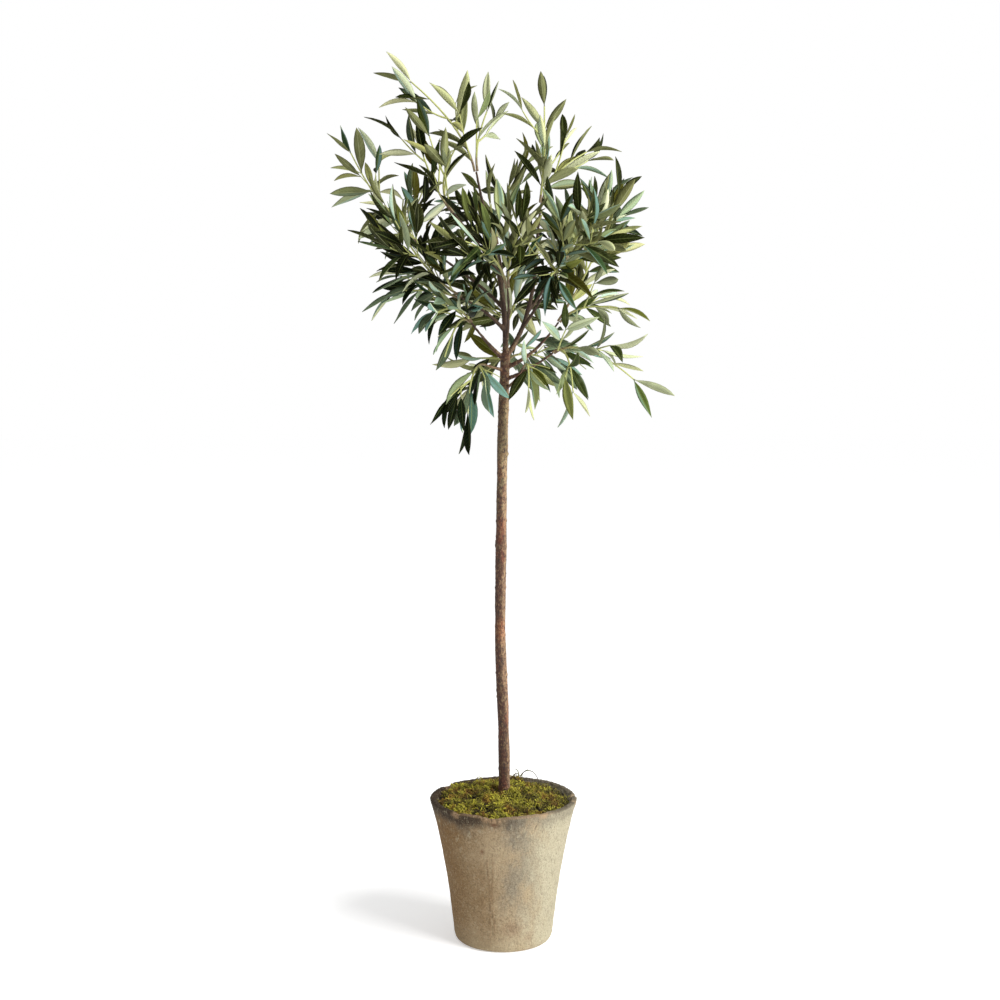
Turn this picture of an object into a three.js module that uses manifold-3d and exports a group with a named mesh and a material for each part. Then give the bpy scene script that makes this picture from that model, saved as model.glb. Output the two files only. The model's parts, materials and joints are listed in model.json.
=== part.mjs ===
import * as THREE from 'three';
import { mergeVertices } from 'three/addons/utils/BufferGeometryUtils.js';
import Module from 'manifold-3d';

// An artificial olive tree, 1.5 m tall, standing in an aged clay pot.
// Millimetres, +Z up, +X to the right and -Y to the front.
// The origin is the middle of the pot's flat underside.

const wasm = await Module();
wasm.setup();

const lerp = THREE.MathUtils.lerp;
const radians = THREE.MathUtils.degToRad;
const vector = ([x, y, z]) => new THREE.Vector3(x, y, z);
const namedRows = (rows) => Object.entries(rows).map(([name, row]) => ({ name, ...row }));

// Clearance between two pieces that touch on the real tree
const GAP = 0.3;

// Pot: a flaring shell with a thick wall and a worn, chipped lip
const POT_HEIGHT = 245;
const POT_WALL = 14;
const POT_FLOOR = 18;
const POT_FOOT_RADIUS = 83.5;
const POT_FOOT_ROUND = 7;
const POT_LIP_RADIUS = 126.5;
const POT_LIP_ROUND = 4;
const POT_FLARE = 2.5;
const POT_STRAIGHT_SHARE = 0.6;
const POT_RINGS = 5;
const POT_SIDES = 28;
const LIP_WAVE = 1;
const LIP_WORN_HEIGHT = 24;
const CHIP_DEPTH = 4;
const CHIPS = [
  { at: radians(-99), width: radians(8) },
  { at: radians(-129), width: radians(4) },
  { at: radians(143), width: radians(7) },
];

// Fill of the pot, and the moss heaped over it
const FILL_TOP = 205;
const FILL_CLEAR = 2.5;
const FILL_SIDES = 12;
const MOSS_EDGE_TOP = 224;
const MOSS_MIDDLE_TOP = 249;
const MOSS_LUMP = 2.5;
const MOSS_RINGS = 5;
const MOSS_SIDES = 20;

// Trunk: it leans and sways a little on its way up to the fork
const TRUNK_FOOT = FILL_TOP + GAP;
const TRUNK_WAY = [
  [2, 0, TRUNK_FOOT],
  [0, 0, 364],
  [-5.5, 2, 523],
  [-4, 1, 682],
  [-2, 0, 841],
  [3, 0, 1000],
];
const TRUNK_RADIUS = { foot: 10.2, fork: 8.6 };
const TRUNK_FLARE = { radius: 17, height: 13 };
const TRUNK_NODULE = 0.5;
const TRUNK_SIDES = 10;
const TRUNK_STEPS = 14;

// Boughs: what each grows from and how far up it (0 foot, 1 tip), the way it first leans out,
// its tip, and its radius at foot and tip
const BOUGH_SIDES = 6;
const BOUGH_STEPS = 4;
const BOUGH_FOLLOW = 0.42;
const BOUGHS = namedRows({
  leader: { from: 'trunk', at: 1, tip: [-29, 18, 1228], foot: 5.8, end: 4 },
  leader_top: { from: 'leader', at: 1, tip: [-46, 20, 1304], foot: 3.8, end: 3 },
  left_top: { from: 'leader', at: 0.62, out: [-6, -3, 9], tip: [-84, -8, 1232], foot: 3.8, end: 2.9 },
  left_back: { from: 'leader', at: 0.36, out: [-7, 4, 8], tip: [-128, 30, 1176], foot: 4.2, end: 2.9 },
  left_high: { from: 'leader', at: 0.18, out: [-7, -4, 9], tip: [-70, -42, 1090], foot: 4.2, end: 3 },
  left: { from: 'trunk', at: 0.985, out: [-8, -4, 7], tip: [-54, -34, 1050], foot: 4.8, end: 3.2 },
  left_low: { from: 'trunk', at: 0.965, out: [-8, -8, 1], tip: [-30, -36, 980], foot: 3.8, end: 2.9 },
  front: { from: 'leader', at: 0.09, out: [2, -8, 8], tip: [6, -66, 1104], foot: 4.2, end: 3 },
  middle: { from: 'trunk', at: 0.99, out: [7, 3, 9], tip: [56, 18, 1178], foot: 5.2, end: 3.6 },
  middle_top: { from: 'middle', at: 1, tip: [63, 22, 1252], foot: 3.5, end: 2.9 },
  right_front: { from: 'middle', at: 0.34, out: [6, -6, 8], tip: [76, -52, 1112], foot: 3.8, end: 2.9 },
  right_back: { from: 'middle', at: 0.5, out: [6, 6, 8], tip: [100, 62, 1156], foot: 3.8, end: 2.9 },
  right: { from: 'trunk', at: 0.97, out: [10, -2, 3], tip: [92, -10, 1052], foot: 4.8, end: 3.2 },
  right_low: { from: 'trunk', at: 0.945, out: [10, -5, 3], tip: [82, -34, 1000], foot: 4.2, end: 3 },
  side: { from: 'trunk', at: 0.925, out: [7, -8, 3], tip: [32, -40, 975], foot: 3.4, end: 2.8 },
  back: { from: 'trunk', at: 0.96, out: [1, 9, 6], tip: [6, 72, 1050], foot: 4.8, end: 3.3 },
  back_high: { from: 'leader', at: 0.5, out: [1, 8, 8], tip: [-12, 80, 1190], foot: 4, end: 3 },
  back_low: { from: 'trunk', at: 0.935, out: [-2, 10, 3], tip: [4, 58, 985], foot: 3.8, end: 2.9 },
});

// Foliage masses: the bough that carries each, the tip of its stem, how many side shoots the stem
// has, how long they are, how much they rise (below 0 they sag), and the seed of its growth
const MASSES = namedRows({
  top: { from: 'leader_top', tip: [-152, 0, 1446], shoots: 3, reach: 80, rise: 0.3, seed: 51 },
  top_middle: { from: 'leader_top', tip: [-28, 18, 1402], shoots: 2, reach: 70, rise: 0.4, seed: 12 },
  left_top: { from: 'left_top', tip: [-142, -22, 1356], shoots: 3, reach: 80, rise: 0.2, seed: 12 },
  left_top_front: { from: 'left_top', tip: [-78, -105, 1318], shoots: 2, reach: 80, rise: 0.3, seed: 18 },
  far_left: { from: 'left_back', tip: [-258, 42, 1338], shoots: 2, reach: 85, rise: 0.2, seed: 5 },
  left_back: { from: 'left_back', tip: [-176, 130, 1272], shoots: 2, reach: 80, rise: 0.2, seed: 17 },
  left_front: { from: 'left_high', tip: [-172, -120, 1205], shoots: 3, reach: 85, rise: 0.2, seed: 8 },
  left_low: { from: 'left_high', tip: [-178, -50, 1100], shoots: 2, reach: 70, rise: 0, seed: 25 },
  fan: { from: 'left', tip: [-104, -135, 1060], shoots: 2, reach: 60, rise: 0, seed: 15 },
  hanging: { from: 'left', tip: [-96, -70, 992], shoots: 1, reach: 50, rise: -0.2, seed: 32 },
  lowest: { from: 'left_low', tip: [-58, -92, 900], shoots: 2, reach: 60, rise: -0.2, seed: 17 },
  front: { from: 'front', tip: [28, -150, 1200], shoots: 3, reach: 75, rise: 0.3, seed: 14 },
  front_left: { from: 'front', tip: [-60, -190, 1165], shoots: 3, reach: 80, rise: 0.2, seed: 1 },
  middle_top: { from: 'middle_top', tip: [68, 14, 1410], shoots: 3, reach: 80, rise: 0.3, seed: 23 },
  right_high: { from: 'middle_top', tip: [142, 66, 1344], shoots: 3, reach: 80, rise: 0.3, seed: 4 },
  right_front: { from: 'right_front', tip: [132, -140, 1206], shoots: 3, reach: 75, rise: 0.2, seed: 14 },
  front_right: { from: 'right_front', tip: [72, -190, 1112], shoots: 2, reach: 75, rise: 0.1, seed: 15 },
  right_back: { from: 'right_back', tip: [196, 112, 1238], shoots: 2, reach: 80, rise: 0.2, seed: 23 },
  back_right: { from: 'right_back', tip: [112, 190, 1190], shoots: 2, reach: 80, rise: 0.2, seed: 16 },
  right: { from: 'right', tip: [192, 8, 1262], shoots: 3, reach: 75, rise: 0.3, seed: 18 },
  right_middle: { from: 'right', tip: [186, -56, 1072], shoots: 2, reach: 75, rise: 0.1, seed: 20 },
  right_low: { from: 'right_low', tip: [212, -66, 956], shoots: 2, reach: 65, rise: -0.1, seed: 12 },
  right_hanging: { from: 'right_low', tip: [112, -92, 936], shoots: 2, reach: 55, rise: -0.2, seed: 24 },
  side: { from: 'side', tip: [40, -100, 942], shoots: 1, reach: 50, rise: -0.2, seed: 20 },
  back: { from: 'back', tip: [52, 205, 1105], shoots: 2, reach: 80, rise: 0.2, seed: 7 },
  back_left: { from: 'back', tip: [-98, 190, 1100], shoots: 2, reach: 80, rise: 0.2, seed: 24 },
  back_high: { from: 'back_high', tip: [36, 150, 1335], shoots: 2, reach: 80, rise: 0.3, seed: 7 },
  back_left_high: { from: 'back_high', tip: [-80, 190, 1275], shoots: 2, reach: 80, rise: 0.3, seed: 27 },
  back_low: { from: 'back_low', tip: [-52, 140, 950], shoots: 2, reach: 65, rise: -0.1, seed: 14 },
  back_right_low: { from: 'back_low', tip: [108, 128, 985], shoots: 2, reach: 65, rise: 0, seed: 22 },
});

// How much the leaves of a mass hang down, where they do
const LEAF_SAG = {
  top: 0.2, left_top_front: 0.2, far_left: 0.4, left_low: 0.7, hanging: 0.7, lowest: 0.7,
  right_front: 0.2, front_right: 0.4, right_middle: 0.4, right_low: 0.2, side: 0.4, back: 0.2,
  back_left: 0.2, back_left_high: 0.7, back_right_low: 0.7,
};

// How a stem and its side shoots grow: three-sided twigs, each shoot turned on from the last
const STEM_FOLLOW = 0.4;
const STEM_APART = 2.35;
const STEM = { foot: 1.75, tip: 1, steps: 4, bare: 0.1 };
const SHOOT = { foot: 1.3, tip: 0.85, steps: 2, bare: 0.2 };
const SHOOT_TURN = radians(137.5);
const SHOOT_PLACES = [0.1, 0.86];
const SHOOT_LEAN = [radians(34), radians(56)];
const SHOOT_LENGTH = [0.85, 1.1];
const SHOOT_TAPER = 0.35;
const SHOOT_FOLLOW = 0.45;
const SHOOT_SPARE = 18;
const SHOOT_TRIES = 8;
const SHOOT_RETURN = 1.1;
const TWIG_SIDES = 3;

// How leaves grow: in opposite pairs, from the tip of a twig down to its bare foot
const LEAF_LENGTH = [66, 92];
const LEAF_WIDTH = [0.175, 0.215];
const LEAF_YOUNGEST = 0.8;
const LEAF_THICKNESS = 1.4;
const LEAF_THICKEST = 0.12;
const LEAF_WIDEST = 0.46;
const LEAF_SUNK = 0.4;
const SLIVER = 0.03;
const PAIR_STEP = 32;
const PAIR_TURN = radians(90);
const PAIR_LEAN_FIRST = radians(24);
const PAIR_LEAN_STEP = radians(13);
const PAIR_LEAN_MOST = radians(64);
const FACE_AHEAD = 0.3;
const FACE_UP = 0.3;
const FACE_OUT = 0.6;
const FACE_WANDER = 0.8;
const CROWN_HEART = [0, 0, 1090];
const LEAF_WANDER = 0.35;
const LEAF_TRIES = 7;
const LEAF_NARROWER = 0.8;
const LEAF_SHORTER = 0.94;

// The space that each mass keeps to
const SPACE_SPARE = 2;
const LEAF_SPARE = 4;
const LIMB_SPARE = 5;
const LIMB_PARTS = 14;
const CROWN_REACH = 306;
const CROWN_TOP = 1508;

// Colours and finishes
const CLAY = new THREE.MeshStandardMaterial({ color: 0xb49a76, roughness: 0.92, metalness: 0 });
const FILLER = new THREE.MeshStandardMaterial({ color: 0x5a4a38, roughness: 1, metalness: 0 });
const MOSS = new THREE.MeshStandardMaterial({ color: 0x6f6a2c, roughness: 1, metalness: 0 });
const BARK = new THREE.MeshStandardMaterial({ color: 0x7d6248, roughness: 0.85, metalness: 0 });
const LEAF = new THREE.MeshStandardMaterial({ color: 0x5f6b45, roughness: 0.45, metalness: 0 });

// Seeded draws: the same seed always grows the same mass
class Draws {
  constructor(seed) {
    this.state = seed * 7919 + 17;
    this.next();
  }

  next() {
    this.state = (this.state * 48271) % 2147483647;
    return this.state / 2147483647;
  }

  between([low, high]) {
    return low + (high - low) * this.next();
  }
}

// A closed three.js geometry as a solid, and back again
function solid(geometry) {
  const bare = geometry.clone();
  bare.deleteAttribute('normal');
  bare.deleteAttribute('uv');
  const merged = mergeVertices(bare, 1e-4);
  return new wasm.Manifold(new wasm.Mesh({
    numProp: 3,
    vertProperties: new Float32Array(merged.attributes.position.array),
    triVerts: new Uint32Array(merged.index.array),
  }));
}

function geometryOf(body) {
  const mesh = body.getMesh();
  const geometry = new THREE.BufferGeometry();
  geometry.setAttribute('position', new THREE.BufferAttribute(mesh.vertProperties, 3));
  geometry.setIndex(new THREE.BufferAttribute(mesh.triVerts, 1));
  geometry.computeVertexNormals();
  return geometry;
}

// Two directions square to a heading, and a heading leaned off another one
function across(heading) {
  const aside = Math.abs(heading.z) > 0.9 ? new THREE.Vector3(1, 0, 0) : new THREE.Vector3(0, 0, 1);
  const first = aside.cross(heading).normalize();
  return [first, heading.clone().cross(first)];
}

function leaned(heading, lean, round) {
  const [first, second] = across(heading);
  return heading.clone().multiplyScalar(Math.cos(lean))
    .addScaledVector(first, Math.sin(lean) * Math.cos(round))
    .addScaledVector(second, Math.sin(lean) * Math.sin(round));
}

// A limb is a closed cylinder bent along a curve, its radius changing on the way
function bentLimb(curve, sides, steps, radiusAt) {
  const headings = [];
  const firsts = [];
  for (let ring = 0; ring <= steps; ring += 1) {
    headings.push(curve.getTangent(ring / steps));
    const last = ring === 0 ? across(headings[0])[0] : firsts[ring - 1].clone();
    firsts.push(last.addScaledVector(headings[ring], -last.dot(headings[ring])).normalize());
  }
  const geometry = new THREE.CylinderGeometry(1, 1, 1, sides, steps);
  const position = geometry.attributes.position;
  for (let i = 0; i < position.count; i += 1) {
    const ring = Math.round((position.getY(i) + 0.5) * steps);
    const radius = radiusAt(ring / steps);
    const place = curve.getPoint(ring / steps);
    const second = headings[ring].clone().cross(firsts[ring]);
    place.addScaledVector(firsts[ring], position.getZ(i) * radius);
    place.addScaledVector(second, position.getX(i) * radius);
    position.setXYZ(i, place.x, place.y, place.z);
  }
  return solid(geometry);
}

// Pot
function potRadius(height) {
  const part = height / POT_HEIGHT;
  const bend = POT_STRAIGHT_SHARE * part + (1 - POT_STRAIGHT_SHARE) * part ** POT_FLARE;
  return lerp(POT_FOOT_RADIUS, POT_LIP_RADIUS, bend);
}

function potProfile() {
  const outside = [];
  for (let i = 0; i <= POT_RINGS; i += 1) {
    const height = lerp(POT_FOOT_ROUND, POT_HEIGHT - POT_LIP_ROUND, i / POT_RINGS);
    outside.push(new THREE.Vector2(potRadius(height), height));
  }
  const inside = outside.slice(1).reverse().map(({ x, y }) => new THREE.Vector2(x - POT_WALL, y));
  return [
    new THREE.Vector2(0, 0),
    new THREE.Vector2(POT_FOOT_RADIUS - POT_FOOT_ROUND, 0),
    new THREE.Vector2(POT_FOOT_RADIUS - 0.3 * POT_FOOT_ROUND, 0.3 * POT_FOOT_ROUND),
    ...outside,
    new THREE.Vector2(POT_LIP_RADIUS - POT_LIP_ROUND, POT_HEIGHT),
    new THREE.Vector2(POT_LIP_RADIUS - POT_WALL + POT_LIP_ROUND, POT_HEIGHT),
    ...inside,
    new THREE.Vector2(POT_FOOT_RADIUS - POT_WALL, POT_FLOOR),
    new THREE.Vector2(0, POT_FLOOR),
  ];
}

// The lip is wavy and dips where it is chipped
function lipDip(angle) {
  const wave = LIP_WAVE * (1 + 0.6 * Math.sin(3 * angle + 1) + 0.4 * Math.sin(7 * angle));
  const chips = CHIPS.map(({ at, width }) => CHIP_DEPTH * Math.exp(-(((angle - at) / width) ** 2)));
  return chips.reduce((dip, chip) => dip + chip, wave);
}

function pot() {
  const geometry = new THREE.LatheGeometry(potProfile(), POT_SIDES).rotateX(Math.PI / 2);
  const position = geometry.attributes.position;
  for (let i = 0; i < position.count; i += 1) {
    const [x, y, z] = [position.getX(i), position.getY(i), position.getZ(i)];
    const worn = THREE.MathUtils.smoothstep(z, POT_HEIGHT - LIP_WORN_HEIGHT, POT_HEIGHT);
    position.setZ(i, z - worn * lipDip(Math.atan2(y, x)));
  }
  return solid(geometry);
}

// Fill: a plug that stands on the pot's floor, clear of its wall
function fill() {
  const foot = POT_FLOOR + GAP;
  const profile = [new THREE.Vector2(0, foot)];
  for (let i = 0; i <= POT_RINGS; i += 1) {
    const height = lerp(foot, FILL_TOP, i / POT_RINGS);
    profile.push(new THREE.Vector2(potRadius(height) - POT_WALL - FILL_CLEAR, height));
  }
  profile.push(new THREE.Vector2(0, FILL_TOP));
  return solid(new THREE.LatheGeometry(profile, FILL_SIDES).rotateX(Math.PI / 2));
}

// Trunk
const trunkCurve = new THREE.CatmullRomCurve3(TRUNK_WAY.map(vector), false, 'catmullrom', 0.5);

function trunkRadius(part, spare = 0) {
  const above = part * (TRUNK_WAY.at(-1)[2] - TRUNK_FOOT);
  const flare = (TRUNK_FLARE.radius - TRUNK_RADIUS.foot) * Math.exp(-above / TRUNK_FLARE.height);
  const nodule = TRUNK_NODULE * Math.sin(41 * part) * Math.sin(17 * part + 1);
  return lerp(TRUNK_RADIUS.foot, TRUNK_RADIUS.fork, part) + flare + nodule + spare;
}

function trunk(spare = 0) {
  return bentLimb(trunkCurve, TRUNK_SIDES, TRUNK_STEPS, (part) => trunkRadius(part, spare));
}

// Moss: a lumpy mound over the fill, close round the trunk
function moss() {
  const edge = potRadius(FILL_TOP) - POT_WALL - FILL_CLEAR;
  const foot = FILL_TOP + GAP;
  const profile = [new THREE.Vector2(0, foot), new THREE.Vector2(edge, foot)];
  for (let i = 0; i <= MOSS_RINGS; i += 1) {
    const part = i / MOSS_RINGS;
    const height = lerp(MOSS_EDGE_TOP, MOSS_MIDDLE_TOP, Math.sin(part * Math.PI / 2));
    profile.push(new THREE.Vector2(edge * (1 - part), height));
  }
  const geometry = new THREE.LatheGeometry(profile, MOSS_SIDES).rotateX(Math.PI / 2);
  const position = geometry.attributes.position;
  for (let i = 0; i < position.count; i += 1) {
    const [x, y, z] = [position.getX(i), position.getY(i), position.getZ(i)];
    if (z > foot + 1 && Math.hypot(x, y) > 1) {
      const lump = Math.sin(0.11 * x + 1) * Math.cos(0.13 * y) + 0.6 * Math.sin(0.05 * x - 0.21 * y);
      position.setZ(i, z + MOSS_LUMP * lump);
    }
  }
  return solid(geometry).subtract(trunk(2 * GAP));
}

// Limbs: the trunk and the boughs, each a curve with its radii
const limbs = new Map([['trunk', { curve: trunkCurve, radiusAt: trunkRadius }]]);

function boughCurve({ from, at, out, tip }) {
  const carrier = limbs.get(from).curve;
  const start = carrier.getPoint(at);
  const heading = out ? vector(out).normalize() : carrier.getTangent(at);
  if (!out) {
    start.addScaledVector(heading, GAP);
  }
  const end = vector(tip);
  const turn = start.clone().addScaledVector(heading, start.distanceTo(end) * BOUGH_FOLLOW);
  return new THREE.QuadraticBezierCurve3(start, turn, end);
}

for (const bough of BOUGHS) {
  const radiusAt = (part, spare = 0) => lerp(bough.foot, bough.end, part) + spare;
  limbs.set(bough.name, { curve: boughCurve(bough), radiusAt });
}

// A bough's foot is cut to fit the limbs that were there before it
function boughSolids() {
  const cutters = [trunk(1.3 * GAP)];
  return BOUGHS.map(({ name }) => {
    const { curve, radiusAt } = limbs.get(name);
    const whole = bentLimb(curve, BOUGH_SIDES, BOUGH_STEPS, (part) => radiusAt(part));
    const cut = cutters.reduce((body, cutter) => body.subtract(cutter), whole);
    const [body] = cut.decompose().sort((a, b) => b.volume() - a.volume());
    cutters.push(bentLimb(curve, BOUGH_SIDES, BOUGH_STEPS, (part) => radiusAt(part, 1.3 * GAP)));
    return { name, body };
  });
}

// Distances that the growth rule asks for
function distanceToPiece(point, from, to) {
  const piece = to.clone().sub(from);
  const off = point.clone().sub(from);
  const part = THREE.MathUtils.clamp(off.dot(piece) / piece.lengthSq(), 0, 1);
  return off.addScaledVector(piece, -part).length();
}

const limbPieces = [...limbs.values()].flatMap(({ curve, radiusAt }) => {
  const pieces = [];
  for (let i = 0; i < LIMB_PARTS; i += 1) {
    pieces.push({
      from: curve.getPoint(i / LIMB_PARTS),
      to: curve.getPoint((i + 1) / LIMB_PARTS),
      radius: radiusAt(i / LIMB_PARTS),
    });
  }
  return pieces;
});

function clearOfLimbs(point, spare) {
  return limbPieces.every(({ from, to, radius }) => distanceToPiece(point, from, to) > radius + spare);
}

function distanceToTwigs(point, twigs) {
  let nearest = Infinity;
  for (const { line } of twigs) {
    for (let i = 1; i < line.length; i += 1) {
      nearest = Math.min(nearest, distanceToPiece(point, line[i - 1], line[i]));
    }
  }
  return nearest;
}

function insideCrown(point) {
  return point.z < CROWN_TOP && Math.hypot(point.x, point.y) < CROWN_REACH;
}

// A twig leaves its start along a heading and bends over to its tip
function twig(start, heading, tip, follow, kind) {
  const turn = start.clone().addScaledVector(heading, start.distanceTo(tip) * follow);
  const curve = new THREE.QuadraticBezierCurve3(start, turn, tip);
  const line = [start];
  let length = 0;
  for (let i = 1; i <= kind.steps; i += 1) {
    line.push(curve.getPoint(i / kind.steps));
    length += line[i].distanceTo(line[i - 1]);
  }
  return { curve, line, length, ...kind };
}

// A place on the straight pieces that a twig is made of
function placeOn({ line, steps }, part) {
  const piece = Math.min(Math.floor(part * steps), steps - 1);
  return line[piece].clone().lerp(line[piece + 1], part * steps - piece);
}

function headingOf({ v0, v1, v2 }, part) {
  const early = v1.clone().sub(v0).multiplyScalar(1 - part);
  return early.addScaledVector(v2.clone().sub(v1), part).normalize();
}

// A mass's stem stands on the flat end of its bough, beside that of the mass it shares it with
function stemOf(mass) {
  const { curve } = limbs.get(mass.from);
  const heading = headingOf(curve, 1);
  const start = curve.getPoint(1).addScaledVector(heading, GAP);
  const tip = vector(mass.tip);
  for (const other of MASSES.filter(({ from, name }) => from === mass.from && name !== mass.name)) {
    const aside = tip.clone().sub(vector(other.tip));
    aside.addScaledVector(heading, -aside.dot(heading)).normalize();
    start.addScaledVector(aside, STEM_APART);
  }
  return twig(start, heading, tip, STEM_FOLLOW, STEM);
}

// Side shoots turn round the stem, and one that finds no room of its own is skipped
function growShoots({ shoots, reach, rise, draws, stem }, taken) {
  const grown = [];
  for (let i = 0; i < shoots; i += 1) {
    const at = lerp(...SHOOT_PLACES, (i + 0.5 * draws.next()) / shoots);
    const start = placeOn(stem, at);
    const heading = headingOf(stem.curve, at);
    const length = reach * (1 - SHOOT_TAPER * at) * draws.between(SHOOT_LENGTH);
    for (let attempt = 0; attempt < SHOOT_TRIES; attempt += 1) {
      const out = leaned(heading, draws.between(SHOOT_LEAN), i * SHOOT_TURN + attempt * SHOOT_RETURN);
      const on = out.clone().add(new THREE.Vector3(0, 0, rise)).normalize();
      const tip = start.clone().addScaledVector(on, length);
      const shoot = twig(start, out, tip, SHOOT_FOLLOW, SHOOT);
      const free = shoot.line.slice(1).every((point) => insideCrown(point)
        && clearOfLimbs(point, SHOOT_SPARE) && distanceToTwigs(point, taken) > SHOOT_SPARE);
      if (free) {
        grown.push(shoot);
        break;
      }
    }
  }
  return grown;
}

// A leaf: its start and tip, and its width. Its upper side faces ahead, up and out of the crown.
function leafAt(draws, start, out, heading, length, width) {
  const face = start.clone().sub(vector(CROWN_HEART)).normalize().multiplyScalar(FACE_OUT);
  face.addScaledVector(heading, FACE_AHEAD).add(new THREE.Vector3(0, 0, FACE_UP));
  const wander = [draws.between([-1, 1]), draws.between([-1, 1]), draws.between([-1, 1])];
  face.addScaledVector(vector(wander), FACE_WANDER);
  face.addScaledVector(out, -face.dot(out)).normalize();
  const tip = start.clone().addScaledVector(out, length);
  return { start, tip, out, face, side: out.clone().cross(face), length, width };
}

// It has to stay in its mass's own space, clear of the limbs and of the leaves already there
function leafFits({ start, out, side, length, width }, { twigs, leaves }, others) {
  const points = [0.3, LEAF_WIDEST, 0.75, 1]
    .map((part) => start.clone().addScaledVector(out, part * length));
  const edges = [-0.5, 0.5].map((half) => points[1].clone().addScaledVector(side, half * width));
  return [...points, ...edges].every((point) => insideCrown(point)
    && clearOfLimbs(point, LIMB_SPARE)
    && leaves.every((leaf) => distanceToPiece(point, leaf.start, leaf.tip) > LEAF_SPARE)
    && distanceToTwigs(point, twigs) + SPACE_SPARE < distanceToTwigs(point, others));
}

function growLeaf(mass, start, heading, lean, round, length, others) {
  const width = length * mass.draws.between(LEAF_WIDTH);
  const sag = LEAF_SAG[mass.name] ?? 0;
  for (let attempt = 0; attempt < LEAF_TRIES; attempt += 1) {
    const narrowed = lean * LEAF_NARROWER ** attempt;
    const shorter = LEAF_SHORTER ** attempt;
    const turned = round + LEAF_WANDER * mass.draws.between([-1, 1]);
    const out = leaned(heading, narrowed, turned).add(vector([0, 0, -sag])).normalize();
    const leaf = leafAt(mass.draws, start, out, heading, length * shorter, width * shorter);
    if (leafFits(leaf, mass, others)) {
      mass.leaves.push(leaf);
      break;
    }
  }
}

function growLeaves(mass, others) {
  for (const twigOf of mass.twigs) {
    const { curve, length, bare } = twigOf;
    const pairs = Math.floor(length * (1 - bare) / PAIR_STEP) + 1;
    const twist = 2 * Math.PI * mass.draws.next();
    for (let j = 0; j < pairs; j += 1) {
      const at = 1 - j * PAIR_STEP / length;
      const start = placeOn(twigOf, at);
      const heading = headingOf(curve, at);
      const lean = Math.min(PAIR_LEAN_FIRST + j * PAIR_LEAN_STEP, PAIR_LEAN_MOST);
      const age = Math.min(1, LEAF_YOUNGEST + 0.1 * j);
      for (const half of [0, Math.PI]) {
        const size = age * mass.draws.between(LEAF_LENGTH);
        growLeaf(mass, start, heading, lean, twist + j * PAIR_TURN + half, size, others);
      }
    }
  }
}

// The whole crown: every stem first, then the shoots, then the leaves in the room that is left
function growCrown() {
  const masses = MASSES.map((mass) => ({ ...mass, draws: new Draws(mass.seed), stem: stemOf(mass) }));
  for (const mass of masses) {
    mass.twigs = [mass.stem];
  }
  const othersOf = (mass) => masses.filter((other) => other !== mass).flatMap(({ twigs }) => twigs);
  for (const mass of masses) {
    mass.twigs.push(...growShoots(mass, othersOf(mass)));
  }
  for (const mass of masses) {
    mass.leaves = [];
    growLeaves(mass, othersOf(mass));
  }
  return masses;
}

// A leaf's solid is a thin blade: a pointed root sunk into its twig, two edges, a ridge and a tip
const BLADE_FACES = [[0, 4, 2], [0, 3, 4], [1, 2, 4], [1, 4, 3], [0, 2, 3], [1, 3, 2]];

function leafSolid({ start, out, face, side, length, width }) {
  const place = (along, aside, up) => start.clone()
    .addScaledVector(out, along).addScaledVector(side, aside).addScaledVector(face, up);
  const corners = [
    place(-LEAF_SUNK, 0, 0),
    place(length, 0, 0),
    place(LEAF_WIDEST * length, -width / 2, 0),
    place(LEAF_WIDEST * length, width / 2, 0),
    place(LEAF_THICKEST * length, 0, LEAF_THICKNESS),
  ];
  const geometry = new THREE.BufferGeometry().setFromPoints(corners);
  geometry.setIndex(BLADE_FACES.flat());
  return solid(geometry);
}

function massSolid({ twigs, leaves }) {
  const stems = twigs.map(({ curve, foot, tip, steps }) => bentLimb(curve, TWIG_SIDES, steps,
    (part) => lerp(foot, tip, part)));
  const whole = [...stems, ...leaves.map(leafSolid)].reduce((body, piece) => body.add(piece));
  return whole.simplify(SLIVER);
}

// The tree
const tree = new THREE.Group();

function place(name, body, material) {
  const mesh = new THREE.Mesh(geometryOf(body), material);
  mesh.name = name;
  tree.add(mesh);
}

place('pot', pot(), CLAY);
place('fill', fill(), FILLER);
place('moss', moss(), MOSS);
place('trunk', trunk(), BARK);
for (const { name, body } of boughSolids()) {
  place(`bough_${name}`, body, BARK);
}
for (const mass of growCrown()) {
  place(`leaves_${mass.name}`, massSolid(mass), LEAF);
}

export default tree;
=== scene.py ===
# %% [markdown]
# # An artificial olive tree in an old clay pot
#
# A slim bare trunk carries an open, leafy crown. It stands in a flared clay pot under a pad of dry
# moss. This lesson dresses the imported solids: it loads them, sets up a plain studio, grows the
# crown by a seeded rule, and gives the trunk, the pot and the moss their real surfaces.

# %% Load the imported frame
import json
import math

import bpy
import numpy as np
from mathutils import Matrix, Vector, noise

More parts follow.
